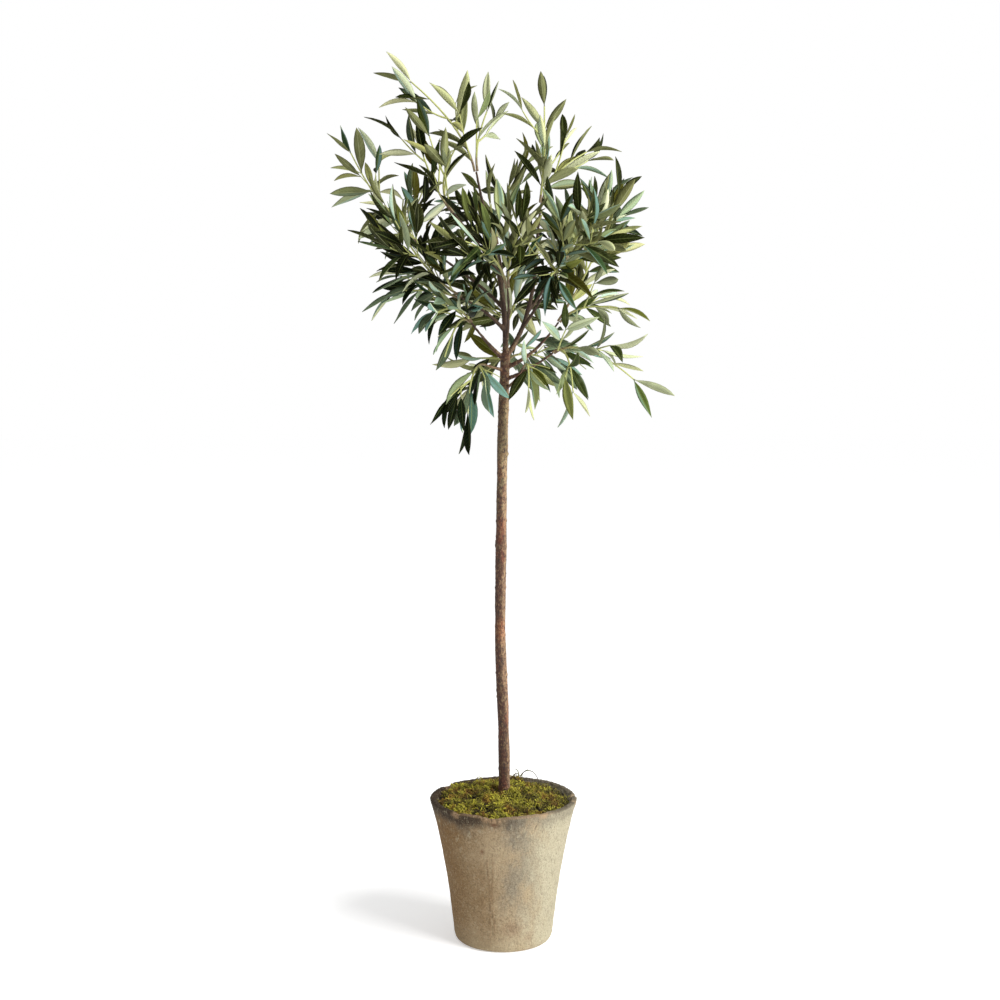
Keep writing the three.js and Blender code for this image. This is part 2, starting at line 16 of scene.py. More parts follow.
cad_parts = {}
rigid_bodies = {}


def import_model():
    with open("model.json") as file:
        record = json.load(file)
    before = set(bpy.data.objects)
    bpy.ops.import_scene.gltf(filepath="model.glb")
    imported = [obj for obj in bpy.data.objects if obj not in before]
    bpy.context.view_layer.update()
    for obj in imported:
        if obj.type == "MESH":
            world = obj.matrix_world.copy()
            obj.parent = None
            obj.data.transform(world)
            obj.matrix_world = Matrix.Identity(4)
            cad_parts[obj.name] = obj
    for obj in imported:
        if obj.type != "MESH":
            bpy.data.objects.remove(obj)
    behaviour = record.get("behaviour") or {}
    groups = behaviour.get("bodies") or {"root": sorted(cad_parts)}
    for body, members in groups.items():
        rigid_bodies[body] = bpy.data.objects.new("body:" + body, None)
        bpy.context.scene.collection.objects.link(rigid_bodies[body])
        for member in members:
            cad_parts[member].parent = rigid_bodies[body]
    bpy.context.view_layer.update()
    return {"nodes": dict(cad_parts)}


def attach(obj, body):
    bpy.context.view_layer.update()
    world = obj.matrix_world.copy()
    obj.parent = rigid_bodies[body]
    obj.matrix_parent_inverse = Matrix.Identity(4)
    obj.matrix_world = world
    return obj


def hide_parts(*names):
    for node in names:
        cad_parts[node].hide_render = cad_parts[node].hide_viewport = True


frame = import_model()
MM = 0.001
scene = bpy.context.scene
leaf_nodes = [name for name in frame["nodes"] if name.startswith("leaves_")]
limb_nodes = ["trunk"] + [name for name in frame["nodes"] if name.startswith("bough_")]
print("foliage masses:", len(leaf_nodes), "limbs:", len(limb_nodes))

# %% [markdown]
# The studio is a white room. A lens far down the room sees the tree almost level, from a little
# above its middle. A white sky fills every shadow, and one large soft lamp on the right gives the
# pot its light side and a faint shadow on the left. An area lamp is chosen because its shadow is
# soft without any trick.

# %% Camera and lamp
CAMERA_PLACE = (-0.006, -2.35, 0.926)
CAMERA_TILT = math.radians(4.2)
CAMERA_LENS = 50.18
KEY_PLACE = (2.3, -1.5, 2.4)
KEY_TARGET = (0.0, 0.0, 0.6)
KEY_SIZE = 2.0
KEY_POWER = 160.0


def placed(name, data, shelf=scene.collection):
    """A new object at the origin, in the scene or on a shelf of helper shapes."""
    thing = bpy.data.objects.new(name, data)
    shelf.objects.link(thing)
    return thing


def make_camera():
    camera = placed("camera", bpy.data.cameras.new("camera"))
    camera.location = CAMERA_PLACE
    camera.rotation_euler = (math.radians(90) - CAMERA_TILT, 0, 0)
    camera.data.lens = CAMERA_LENS
    scene.camera = camera


def make_lamp():
    lamp = placed("key_lamp", bpy.data.lights.new("key_lamp", "AREA"))
    lamp.data.size = KEY_SIZE
    lamp.data.energy = KEY_POWER
    lamp.location = KEY_PLACE
    aim = Vector(KEY_TARGET) - Vector(KEY_PLACE)
    lamp.rotation_euler = aim.to_track_quat("-Z", "Y").to_euler()


make_camera()
make_lamp()
scene.view_settings.view_transform = "Standard"
print("camera", CAMERA_PLACE, "lamp", KEY_PLACE)

# %% [markdown]
# Nodes are easier to read as sums. `Socket` wraps one socket and adds a Math node for each
# operator, and `Net` adds any other node: first its settings, then its values or links. Most of the
# finishes are layers of colour, and `layered` lays them over one another: a table gives each layer
# its share and colour, and the material gives it a mask.

# %% Helpers for node trees


class Socket:
    def __init__(self, net, socket):
        self.net = net
        self.socket = socket

    def math(self, operation, *others):
        return self.net.math(operation, self, *others)

    def __add__(self, other):
        return self.math("ADD", other)

    def __sub__(self, other):
        return self.math("SUBTRACT", other)

    def __mul__(self, other):
        return self.math("MULTIPLY", other)

    def __rsub__(self, other):
        return self.net.math("SUBTRACT", other, self)

    __radd__ = __add__
    __rmul__ = __mul__

    def also(self, name):
        """Another output of the same node."""
        return Socket(self.net, self.socket.node.outputs[name])

    def between(self, low, high):
        """0 below low, 1 above high, smooth between; turned round where low is above high."""
        values = {"Value": self, "From Min": low, "From Max": high}
        return self.net.node("ShaderNodeMapRange", {"interpolation_type": "SMOOTHSTEP"}, values)


class Net:
    def __init__(self, tree):
        self.tree = tree
        self.tree.nodes.clear()

    def node(self, kind, settings=None, values=None, out=0):
        node = self.tree.nodes.new(kind)
        for name, value in (settings or {}).items():
            if name == "stops":
                self.set_stops(node.color_ramp, value)
            else:
                setattr(node, name, value)
        for name, value in (values or {}).items():
            if isinstance(value, Socket):
                self.tree.links.new(value.socket, node.inputs[name])
            else:
                node.inputs[name].default_value = value
        return Socket(self, node.outputs[out]) if node.outputs else None

    @staticmethod
    def set_stops(ramp, stops):
        while len(ramp.elements) < len(stops):
            ramp.elements.new(1.0)
        for element, (place, colour) in zip(ramp.elements, stops):
            element.position = place
            element.color = rgba(colour)

    def math(self, operation, *values):
        return self.node("ShaderNodeMath", {"operation": operation}, dict(enumerate(values)))

    def mix(self, share, first, second):
        values = {0: share, 6: as_colour(first), 7: as_colour(second)}
        return self.node("ShaderNodeMix", {"data_type": "RGBA"}, values, out=2)

    def layered(self, colour, looks, masks):
        """A colour with others laid over it, each where its mask is and by its own share."""
        for name, mask in masks.items():
            share, over = looks[name]
            colour = self.mix(mask * share, colour, over)
        return colour

    def noise(self, place, scale, detail=2.0, roughness=0.5, upright=1.0):
        """Noise at a place, drawn out along the height where upright is under 1."""
        drawn_out = self.node("ShaderNodeMapping", None, {"Vector": place, "Scale": (1, 1, upright)})
        values = {"Vector": drawn_out, "Scale": scale, "Detail": detail, "Roughness": roughness}
        return self.node("ShaderNodeTexNoise", None, values)

    def noises(self, place, table):
        """A noise for each row of a table, in its order."""
        return [self.noise(place, *row) for row in table.values()]

    def object_place(self):
        return self.node("ShaderNodeTexCoord").also("Object")

    def axes(self, vector):
        """The three numbers of a vector."""
        first = self.node("ShaderNodeSeparateXYZ", None, {"Vector": vector})
        return first, first.also("Y"), first.also("Z")

    def attribute(self, name):
        return self.node("ShaderNodeAttribute", {"attribute_name": name}).also("Fac")

    def bump(self, height, strength, distance):
        values = {"Height": height, "Strength": strength, "Distance": distance}
        return self.node("ShaderNodeBump", None, values)

    def surface(self, **values):
        named = {name.replace("_", " ").title().replace("Ior", "IOR"): value
                 for name, value in values.items()}
        shader = self.node("ShaderNodeBsdfPrincipled", None, named)
        self.node("ShaderNodeOutputMaterial", None, {"Surface": shader})


def linear(srgb):
    """A colour given as 0 to 255 on a screen, as the light that it stands for."""
    parts = [value / 255 for value in srgb]
    return tuple(p / 12.92 if p <= 0.04045 else ((p + 0.055) / 1.055) ** 2.4 for p in parts)


def rgba(colour):
    return (*linear(colour), 1.0)


def as_colour(value):
    return value if isinstance(value, Socket) else rgba(value)


def new_material(name):
    material = bpy.data.materials.new(name)
    material.use_nodes = True
    return material, Net(material.node_tree)


print("node helpers ready")

# %% Floor and sky
SKY_STRENGTH = 0.55
FLOOR_REACH = 30.0
FLOOR_DROP = 0.0003
FLOOR_CORNERS = ((-1, -1), (1, -1), (1, 1), (-1, 1))
FLOOR_COLOURS = ((243, 243, 243), (248, 248, 248))
FLOOR_MOTTLE = {"scale": 40.0, "share": 0.2}
# Painted light: the floor glows though it is no lamp, fainter near the tree so its shadow shows,
# brighter far off so no horizon shows.
FLOOR_PAINTED_GLOW = {"near": (163, 163, 163), "far": (188, 188, 188), "from": 0.8, "to": 3.5}


def make_floor():
    mesh = bpy.data.meshes.new("floor")
    corners = [(x * FLOOR_REACH, y * FLOOR_REACH, -FLOOR_DROP) for x, y in FLOOR_CORNERS]
    mesh.from_pydata(corners, [], [(0, 1, 2, 3)])
    material, net = new_material("pale floor")
    place = net.object_place()
    mottle = net.noise(place, FLOOR_MOTTLE["scale"]) * FLOOR_MOTTLE["share"]
    away = net.node("ShaderNodeVectorMath", {"operation": "LENGTH"}, {0: place}, out=1)
    # painted light: the floor's own glow grows with distance from the tree
    far = away.between(FLOOR_PAINTED_GLOW["from"], FLOOR_PAINTED_GLOW["to"])
    painted_glow = net.mix(far, FLOOR_PAINTED_GLOW["near"], FLOOR_PAINTED_GLOW["far"])
    net.surface(base_color=net.mix(mottle, *FLOOR_COLOURS), roughness=0.9,
                specular_ior_level=0.0, emission_color=painted_glow, emission_strength=1.0)
    mesh.materials.append(material)
    placed("floor", mesh)


def make_sky():
    world = bpy.data.worlds.new("white room")
    world.use_nodes = True
    net = Net(world.node_tree)
    seen = net.node("ShaderNodeLightPath")
    strength = SKY_STRENGTH + seen * (1 - SKY_STRENGTH)
    sky = net.node("ShaderNodeBackground", None, {"Color": (1, 1, 1, 1), "Strength": strength})
    net.node("ShaderNodeOutputWorld", None, {"Surface": sky})
    scene.world = world


make_floor()
make_sky()
print("white room, sky strength", SKY_STRENGTH)

# %% [markdown]
# ## How the crown grows
#
# On such a tree the maker wires sprays of leaves to forked boughs, so every spray has a stem, a few
# side shoots, and leaves in opposite pairs, each pair turned a quarter round from the last. That is
# a rule, so the crown isn't modelled leaf by leaf: the rule that made the solids is written again
# here, in millimetres and with the same seeds, so that each leaf comes back where its solid is.
# Draws come from one small generator for each spray.

# %% Seeded draws and directions
SEED_FACTOR = 7919
SEED_SHIFT = 17
DRAW_FACTOR = 48271
DRAW_RANGE = 2 ** 31 - 1
NEARLY_UPRIGHT = 0.9


class Draws:
    def __init__(self, seed):
        self.state = seed * SEED_FACTOR + SEED_SHIFT
        self.next()

    def next(self):
        self.state = (self.state * DRAW_FACTOR) % DRAW_RANGE
        return self.state / DRAW_RANGE

    def between(self, low, high):
        return low + (high - low) * self.next()


def lerp(low, high, part):
    return (1 - part) * low + part * high


def unit(vector):
    return vector / np.linalg.norm(vector)


def across(heading):
    """Two directions square to a heading."""
    aside = np.array((1.0, 0, 0)) if abs(heading[2]) > NEARLY_UPRIGHT else np.array((0, 0, 1.0))
    first = unit(np.cross(aside, heading))
    return first, np.cross(heading, first)


def leaned(heading, lean, turn):
    """A heading leaned off another one, turned round it."""
    first, second = across(heading)
    aside = first * math.cos(turn) + second * math.sin(turn)
    return heading * math.cos(lean) + aside * math.sin(lean)


def distances(points, starts, ends):
    """How far each point is from each straight piece."""
    pieces = ends - starts
    off = points[:, None] - starts
    parts = np.clip((off * pieces).sum(-1) / (pieces * pieces).sum(-1), 0, 1)
    return np.linalg.norm(off - pieces * parts[..., None], axis=-1)


print("first draw of seed 1:", round(Draws(1).next(), 4))

# %% [markdown]
# The trunk is a smooth curve through six points. A bough is a curve with one bend: it leaves its
# carrier along a heading and turns over to its tip. Both are only centre lines with a radius; the
# surface comes later.

# %% Two kinds of curve
TANGENT_STEP = 0.0001


class Bend:
    """A curve that leaves its start towards a turning point and ends at its tip."""

    def __init__(self, start, heading, tip, follow):
        turn = start + heading * np.linalg.norm(tip - start) * follow
        self.way = (start, turn, tip)

    def point(self, part):
        start, turn, tip = self.way
        return (1 - part) ** 2 * start + 2 * part * (1 - part) * turn + part ** 2 * tip

    def heading(self, part):
        start, turn, tip = self.way
        return unit((turn - start) * (1 - part) + (tip - turn) * part)

    def tangent(self, part):
        late = min(part + TANGENT_STEP, 1)
        return unit(self.point(late) - self.point(max(part - TANGENT_STEP, 0)))


class Sway:
    """A smooth curve through a row of points."""

    def __init__(self, way):
        self.way = np.vstack((2 * way[0] - way[1], way, 2 * way[-1] - way[-2]))

    def point(self, part):
        place = (len(self.way) - 3) * part
        piece = min(int(place), len(self.way) - 4)
        w = place - piece
        before, start, end, after = self.way[piece:piece + 4]
        out, into = 0.5 * (end - before), 0.5 * (after - start)
        square = -3 * start + 3 * end - 2 * out - into
        return start + out * w + square * w ** 2 + (2 * start - 2 * end + out + into) * w ** 3

    tangent = Bend.tangent


print("curves: a bend with one turn, and a sway through a row of points")

# %% Limbs
TRUNK_FOOT = 205.3
TRUNK_WAY = np.array([
    (2, 0, TRUNK_FOOT), (0, 0, 364), (-5.5, 2, 523), (-4, 1, 682), (-2, 0, 841), (3, 0, 1000),
], dtype=float)
TRUNK_RADII = (10.2, 8.6)
TRUNK_FLARE = {"radius": 17, "height": 13}
TRUNK_NODULE = 0.5
TRUNK_WAVES = (41, 17)
GAP = 0.3
BOUGH_FOLLOW = 0.42
BOUGHS = {
    "leader": ("trunk", 1, None, (-29, 18, 1228), 5.8, 4),
    "leader_top": ("leader", 1, None, (-46, 20, 1304), 3.8, 3),
    "left_top": ("leader", 0.62, (-6, -3, 9), (-84, -8, 1232), 3.8, 2.9),
    "left_back": ("leader", 0.36, (-7, 4, 8), (-128, 30, 1176), 4.2, 2.9),
    "left_high": ("leader", 0.18, (-7, -4, 9), (-70, -42, 1090), 4.2, 3),
    "left": ("trunk", 0.985, (-8, -4, 7), (-54, -34, 1050), 4.8, 3.2),
    "left_low": ("trunk", 0.965, (-8, -8, 1), (-30, -36, 980), 3.8, 2.9),
    "front": ("leader", 0.09, (2, -8, 8), (6, -66, 1104), 4.2, 3),
    "middle": ("trunk", 0.99, (7, 3, 9), (56, 18, 1178), 5.2, 3.6),
    "middle_top": ("middle", 1, None, (63, 22, 1252), 3.5, 2.9),
    "right_front": ("middle", 0.34, (6, -6, 8), (76, -52, 1112), 3.8, 2.9),
    "right_back": ("middle", 0.5, (6, 6, 8), (100, 62, 1156), 3.8, 2.9),
    "right": ("trunk", 0.97, (10, -2, 3), (92, -10, 1052), 4.8, 3.2),
    "right_low": ("trunk", 0.945, (10, -5, 3), (82, -34, 1000), 4.2, 3),
    "side": ("trunk", 0.925, (7, -8, 3), (32, -40, 975), 3.4, 2.8),
    "back": ("trunk", 0.96, (1, 9, 6), (6, 72, 1050), 4.8, 3.3),
    "back_high": ("leader", 0.5, (1, 8, 8), (-12, 80, 1190), 4, 3),
    "back_low": ("trunk", 0.935, (-2, 10, 3), (4, 58, 985), 3.8, 2.9),
}


def trunk_radius(part):
    above = part * (TRUNK_WAY[-1][2] - TRUNK_FOOT)
    flare = (TRUNK_FLARE["radius"] - TRUNK_RADII[0]) * math.exp(-above / TRUNK_FLARE["height"])
    short, long = TRUNK_WAVES
    nodule = TRUNK_NODULE * math.sin(short * part) * math.sin(long * part + 1)
    return lerp(*TRUNK_RADII, part) + flare + nodule


def grow_limbs():
    limbs = {"trunk": (Sway(TRUNK_WAY), trunk_radius)}
    for name, (carrier, at, out, tip, foot, end) in BOUGHS.items():
        curve = limbs[carrier][0]
        heading = unit(np.array(out, dtype=float)) if out else curve.tangent(at)
        start = curve.point(at) + (0 if out else GAP) * heading
        bend = Bend(start, heading, np.array(tip, dtype=float), BOUGH_FOLLOW)
        limbs[name] = (bend, lambda part, foot=foot, end=end: lerp(foot, end, part))
    return limbs


limbs = grow_limbs()
print("limbs:", len(limbs), "fork at", limbs["leader"][0].point(0).round(1))

# %% [markdown]
# Each spray has a row of its own: the bough that carries it, the tip of its stem, how many side
# shoots it has, how long they are, how much they rise, the seed of its growth, how far its leaves
# hang, their tint, and how full the spray is. A spray keeps its own space, which is what lies nearer
# to its own twigs than to any other's, and a twig or leaf that would leave it, or touch a limb, is
# left out.
#
# Not every column was thought up. Searches tried many seeds, sags and counts of finer twigs, and
# kept those whose outline came nearest to the photo's. The seeds and the sags are a search's own,
# and how full a spray is follows the counts that a search found, in 26 of the 30 rows. The tints
# were dealt one by one, after the photo's mean colour behind each spray had been measured. Other
# seeds give another tree of the same kind.

# %% Sprays
SPRAYS = {
    "top": ("leader_top", (-152, 0, 1446), 3, 80, 0.3, 51, 0.2, "olive", "bare"),
    "top_middle": ("leader_top", (-28, 18, 1402), 2, 70, 0.4, 12, 0, "sage", "bare"),
    "left_top": ("left_top", (-142, -22, 1356), 3, 80, 0.2, 12, 0, "deep", "thin"),
    "left_top_front": ("left_top", (-78, -105, 1318), 2, 80, 0.3, 18, 0.2, "olive", "bare"),
    "far_left": ("left_back", (-258, 42, 1338), 2, 85, 0.2, 5, 0.4, "olive", "open"),
    "left_back": ("left_back", (-176, 130, 1272), 2, 80, 0.2, 17, 0, "deep", "open"),
    "left_front": ("left_high", (-172, -120, 1205), 3, 85, 0.2, 8, 0, "deep", "full"),
    "left_low": ("left_high", (-178, -50, 1100), 2, 70, 0, 25, 0.7, "sea", "open"),
    "fan": ("left", (-104, -135, 1060), 2, 60, 0, 15, 0, "sea", "open"),
    "hanging": ("left", (-96, -70, 992), 1, 50, -0.2, 32, 0.7, "sea", "open"),
    "lowest": ("left_low", (-58, -92, 900), 2, 60, -0.2, 17, 0.7, "sea", "open"),
    "front": ("front", (28, -150, 1200), 3, 75, 0.3, 14, 0, "olive", "full"),
    "front_left": ("front", (-60, -190, 1165), 3, 80, 0.2, 1, 0, "deep", "full"),
    "middle_top": ("middle_top", (68, 14, 1410), 3, 80, 0.3, 23, 0, "olive", "thin"),
    "right_high": ("middle_top", (142, 66, 1344), 3, 80, 0.3, 4, 0, "olive", "thin"),
    "right_front": ("right_front", (132, -140, 1206), 3, 75, 0.2, 14, 0.2, "olive", "full"),
    "front_right": ("right_front", (72, -190, 1112), 2, 75, 0.1, 15, 0.4, "deep", "full"),
    "right_back": ("right_back", (196, 112, 1238), 2, 80, 0.2, 23, 0, "sea", "full"),
    "back_right": ("right_back", (112, 190, 1190), 2, 80, 0.2, 16, 0, "deep", "full"),
    "right": ("right", (192, 8, 1262), 3, 75, 0.3, 18, 0, "olive", "full"),
    "right_middle": ("right", (186, -56, 1072), 2, 75, 0.1, 20, 0.4, "sage", "thin"),
    "right_low": ("right_low", (212, -66, 956), 2, 65, -0.1, 12, 0.2, "sage", "bare"),
    "right_hanging": ("right_low", (112, -92, 936), 2, 55, -0.2, 24, 0, "sage", "thin"),
    "side": ("side", (40, -100, 942), 1, 50, -0.2, 20, 0.4, "olive", "thin"),
    "back": ("back", (52, 205, 1105), 2, 80, 0.2, 7, 0.2, "deep", "full"),
    "back_left": ("back", (-98, 190, 1100), 2, 80, 0.2, 24, 0.2, "deep", "full"),
    "back_high": ("back_high", (36, 150, 1335), 2, 80, 0.3, 7, 0, "olive", "open"),
    "back_left_high": ("back_high", (-80, 190, 1275), 2, 80, 0.3, 27, 0.7, "deep", "thin"),
    "back_low": ("back_low", (-52, 140, 950), 2, 65, -0.1, 14, 0, "olive", "thin"),
    "back_right_low": ("back_low", (108, 128, 985), 2, 65, 0, 22, 0.7, "sea", "full"),
}
FULLNESS = {
    "bare": {"finer": 0, "fallen": 0.4},
    "thin": {"finer": 1, "fallen": 0.25},
    "open": {"finer": 2, "fallen": 0.2},
    "full": {"finer": 5, "fallen": 0.1},
}
STEM = {"foot": 1.75, "tip": 1, "steps": 4, "bare": 0.1}
SHOOT = {"foot": 1.3, "tip": 0.85, "steps": 2, "bare": 0.2}
FINE = {"foot": 0.9, "tip": 0.6, "steps": 2, "bare": 0.1}
STEM_FOLLOW = 0.4
STEM_APART = 2.35
LIMB_PARTS = 14
CROWN_REACH = 306
CROWN_TOP = 1508


class Twig:
    """A bend made of a few straight pieces, with the sizes of its kind."""

    def __init__(self, start, heading, tip, follow, kind):
        self.bend = Bend(start, heading, tip, follow)
        self.kind = kind
        self.line = np.array([self.bend.point(i / kind["steps"]) for i in range(kind["steps"] + 1)])
        self.length = np.linalg.norm(np.diff(self.line, axis=0), axis=1).sum()

    def place(self, part):
        """A place on its straight pieces."""
        steps = self.kind["steps"]
        piece = min(int(part * steps), steps - 1)
        return self.line[piece] + (self.line[piece + 1] - self.line[piece]) * (part * steps - piece)


class Spray:
    """One foliage mass, with its own draws, twigs and leaves."""

    def __init__(self, name):
        self.name = name
        carrier, tip, self.shoots, self.reach, self.rise, seed, *look = SPRAYS[name]
        self.sag, self.tint, fullness = look
        self.finer, self.fallen = FULLNESS[fullness].values()
        self.draws = Draws(seed)
        self.twigs = [self.make_stem(carrier, np.array(tip, dtype=float))]
        self.leaves = []

    def make_stem(self, carrier, tip):
        curve = limbs[carrier][0]
        heading = curve.heading(1)
        start = curve.point(1) + heading * GAP
        for other, row in SPRAYS.items():
            if row[0] == carrier and other != self.name:
                aside = tip - np.array(row[1], dtype=float)
                start = start + unit(aside - heading * aside.dot(heading)) * STEM_APART
        return Twig(start, heading, tip, STEM_FOLLOW, STEM)


def limb_pieces():
    starts, ends, radii = [], [], []
    for curve, radius in limbs.values():
        for i in range(LIMB_PARTS):
            starts.append(curve.point(i / LIMB_PARTS))
            ends.append(curve.point((i + 1) / LIMB_PARTS))
            radii.append(radius(i / LIMB_PARTS))
    return np.array(starts), np.array(ends), np.array(radii)


LIMB_STARTS, LIMB_ENDS, LIMB_RADII = limb_pieces()


def inside_crown(points):
    return (points[:, 2] < CROWN_TOP).all() and (
        np.hypot(points[:, 0], points[:, 1]) < CROWN_REACH).all()


def clear_of_limbs(points, spare):
    return (distances(points, LIMB_STARTS, LIMB_ENDS) > LIMB_RADII + spare).all()


def twig_pieces(twigs):
    """The straight pieces of many twigs, as starts and ends."""
    starts = np.vstack([twig.line[:-1] for twig in twigs])
    return starts, np.vstack([twig.line[1:] for twig in twigs])


print("sprays:", len(SPRAYS), "pieces of limb to keep clear of:", len(LIMB_RADII))

# %% [markdown]
# Shoots turn round their stem by the golden angle, as side shoots do on many plants. A leaf tries a
# few leans and sizes until one fits its space. Its upper side turns out of the crown and up, with
# some wander.

# %% The growth of shoots
GOLDEN_TURN = math.radians(137.5)
SHOOT_RULE = {
    "places": (0.1, 0.86), "lean": (math.radians(34), math.radians(56)), "kind": SHOOT, "spare": 18,
}
SHOOT_LENGTH = (0.85, 1.1)
SHOOT_TAPER = 0.35
SHOOT_FOLLOW = 0.45
SHOOT_TRIES = 8
SHOOT_RETURN = 1.1
UP = np.array((0, 0, 1.0))


def others_of(spray):
    return twig_pieces([twig for other in sprays if other is not spray for twig in other.twigs])


def grow_shoots(spray, carrier, rule, count, reach, taken):
    grown = []
    draws = spray.draws
    for i in range(count):
        at = lerp(*rule["places"], (i + 0.5 * draws.next()) / count)
        start = carrier.place(at)
        heading = carrier.bend.heading(at)
        length = reach * (1 - SHOOT_TAPER * at) * draws.between(*SHOOT_LENGTH)
        for attempt in range(SHOOT_TRIES):
            turn = i * GOLDEN_TURN + attempt * SHOOT_RETURN
            out = leaned(heading, draws.between(*rule["lean"]), turn)
            tip = start + unit(out + UP * spray.rise) * length
            shoot = Twig(start, out, tip, SHOOT_FOLLOW, rule["kind"])
            ahead = shoot.line[1:]
            if (inside_crown(ahead) and clear_of_limbs(ahead, rule["spare"])
                    and (distances(ahead, *taken) > rule["spare"]).all()):
                grown.append(shoot)
                break
    return grown


sprays = [Spray(name) for name in SPRAYS]
for spray in sprays:
    stem = spray.twigs[0]
    spray.twigs += grow_shoots(
        spray, stem, SHOOT_RULE, spray.shoots, spray.reach, others_of(spray))
print("twigs:", sum(len(spray.twigs) for spray in sprays))

# %% The growth of leaves
LEAF_LENGTH = (66, 92)
LEAF_WIDTH = (0.175, 0.215)
LEAF_YOUNGEST = 0.8
LEAF_OLDER = 0.1
LEAF_TESTED = np.array((0.3, 0.46, 0.75, 1))
PAIR_STEP = 32
PAIR_TURN = math.radians(90)
PAIR_LEAN = {"first": math.radians(24), "step": math.radians(13), "most": math.radians(64)}
FACE_AHEAD = 0.3
FACE_UP = 0.3
FACE_OUT = 0.6
FACE_WANDER = 0.8
CROWN_HEART = np.array((0, 0, 1090.0))
LEAF_WANDER = 0.35
LEAF_TRIES = 7
LEAF_NARROWER = 0.8
LEAF_SHORTER = 0.94
SPACE_SPARE = 2
LEAF_SPARE = 4
LIMB_SPARE = 5


def leaf_at(draws, start, out, heading, length, width):
    face = unit(start - CROWN_HEART) * FACE_OUT + heading * FACE_AHEAD + UP * FACE_UP
    wander = np.array([draws.between(-1, 1) for _ in range(3)])
    face = face + wander * FACE_WANDER
    face = unit(face - out * face.dot(out))
    return {"start": start, "out": out, "face": face, "length": length, "width": width}


def leaf_fits(leaf, spray, own, others):
    """Tests points along the leaf, the second where it is widest, and two on its edges there."""
    start, out = leaf["start"], leaf["out"]
    points = start + out * (LEAF_TESTED * leaf["length"])[:, None]
    side = np.cross(out, leaf["face"]) * leaf["width"] / 2
    points = np.vstack((points, points[1] - side, points[1] + side))
    if not (inside_crown(points) and clear_of_limbs(points, LIMB_SPARE)):
        return False
    if spray.leaves:
        starts = np.array([other["start"] for other in spray.leaves])
        tips = starts + [other["out"] * other["length"] for other in spray.leaves]
        if not (distances(points, starts, tips) > LEAF_SPARE).all():
            return False
    ours = distances(points, *own).min(axis=1)
    return (ours + SPACE_SPARE < distances(points, *others).min(axis=1)).all()


def grow_leaf(spray, twig, at, lean, turn, length, own, others):
    draws = spray.draws
    start, heading = twig.place(at), twig.bend.heading(at)
    width = length * draws.between(*LEAF_WIDTH)
    for attempt in range(LEAF_TRIES):
        shorter = LEAF_SHORTER ** attempt
        turned = turn + LEAF_WANDER * draws.between(-1, 1)
        out = unit(leaned(heading, lean * LEAF_NARROWER ** attempt, turned) - UP * spray.sag)
        leaf = leaf_at(draws, start, out, heading, length * shorter, width * shorter)
        if leaf_fits(leaf, spray, own, others):
            leaf["root"] = twig.bend.point(at)
            leaf["at_tip"] = at == 1 and twig.kind is not FINE
            spray.leaves.append(leaf)
            break


def grow_leaves(spray, twigs, step, sizes, others):
    own = twig_pieces(spray.twigs)
    for twig in twigs:
        pairs = int(twig.length * (1 - twig.kind["bare"]) / step) + 1
        twist = 2 * math.pi * spray.draws.next()
        for j in range(pairs):
            at = 1 - j * step / twig.length
            lean = min(PAIR_LEAN["first"] + j * PAIR_LEAN["step"], PAIR_LEAN["most"])
            age = min(1, LEAF_YOUNGEST + LEAF_OLDER * j)
            for half in (0, math.pi):
                size = age * spray.draws.between(*sizes)
                grow_leaf(spray, twig, at, lean, twist + j * PAIR_TURN + half, size, own, others)


for spray in sprays:
    grow_leaves(spray, spray.twigs, PAIR_STEP, LEAF_LENGTH, others_of(spray))
print("leaves:", sum(len(spray.leaves) for spray in sprays))

# %% [markdown]
# A real spray also has finer twigs with smaller leaves, which fill the crown's middle. The same
# rule grows them from the twigs that are there, within the same reach. The barer a spray is, the
# fewer it gets and the more of its leaves have fallen, so that sky shows at the crown's rim. The
# counts and shares of the four kinds are listed, and the one seed was picked by a search.

# %% Finer twigs
FINE_RULE = {
    "places": (0.12, 0.95), "lean": (math.radians(30), math.radians(62)), "kind": FINE, "spare": 9,
}
FINE_REACH = 46
FINE_STEP = 30
FINE_LEAF = (60, 86)
FINE_SEED = 1950


def grow_finer(spray, seed):
    """Finer twigs on the stem, and half as many on each shoot, by draws of their own."""
    spray.draws = Draws(seed)
    taken = others_of(spray)
    spray.fine = []
    for twig in spray.twigs:
        number = spray.finer if twig.kind is STEM else spray.finer // 2
        spray.fine += grow_shoots(spray, twig, FINE_RULE, number, FINE_REACH, taken)
    spray.twigs = spray.twigs + spray.fine


def shed(spray, seed):
    """A share of the leaves has fallen, but none at the tip of a stem or shoot."""
    draws = Draws(seed)
    spray.leaves = [leaf for leaf in spray.leaves if draws.next() >= spray.fallen or leaf["at_tip"]]


for place, spray in enumerate(sprays):
    grow_finer(spray, FINE_SEED + place)
for spray in sprays:
    grow_leaves(spray, spray.fine, FINE_STEP, FINE_LEAF, others_of(spray))
for place, spray in enumerate(sprays):
    shed(spray, FINE_SEED + place)
print("with finer growth, twigs:", sum(len(spray.twigs) for spray in sprays),
      "leaves:", sum(len(spray.leaves) for spray in sprays))

# %% [markdown]
# ## From centre lines to tubes
#
# Twigs, boughs and the trunk are all tubes round a line. Geometry Nodes suit that: the line goes in
# as a mesh of edges that carries its radius and age, and one short tree sweeps a ring along it. It
# ends in Realize Instances and Set Material, and its result is kept as a plain mesh.

# %% Trees of Geometry Nodes


def geometry_net(name, inputs):
    """An empty tree with named inputs: the net, and the first socket of its Group Input."""
    tree = bpy.data.node_groups.new(name, "GeometryNodeTree")
    for label, kind, default in [("Geometry", "NodeSocketGeometry", None), *inputs]:
        socket = tree.interface.new_socket(label, in_out="INPUT", socket_type=kind)
        if default is not None:
            socket.default_value = default
    tree.interface.new_socket("Geometry", in_out="OUTPUT", socket_type="NodeSocketGeometry")
    net = Net(tree)
    return net, net.node("NodeGroupInput")


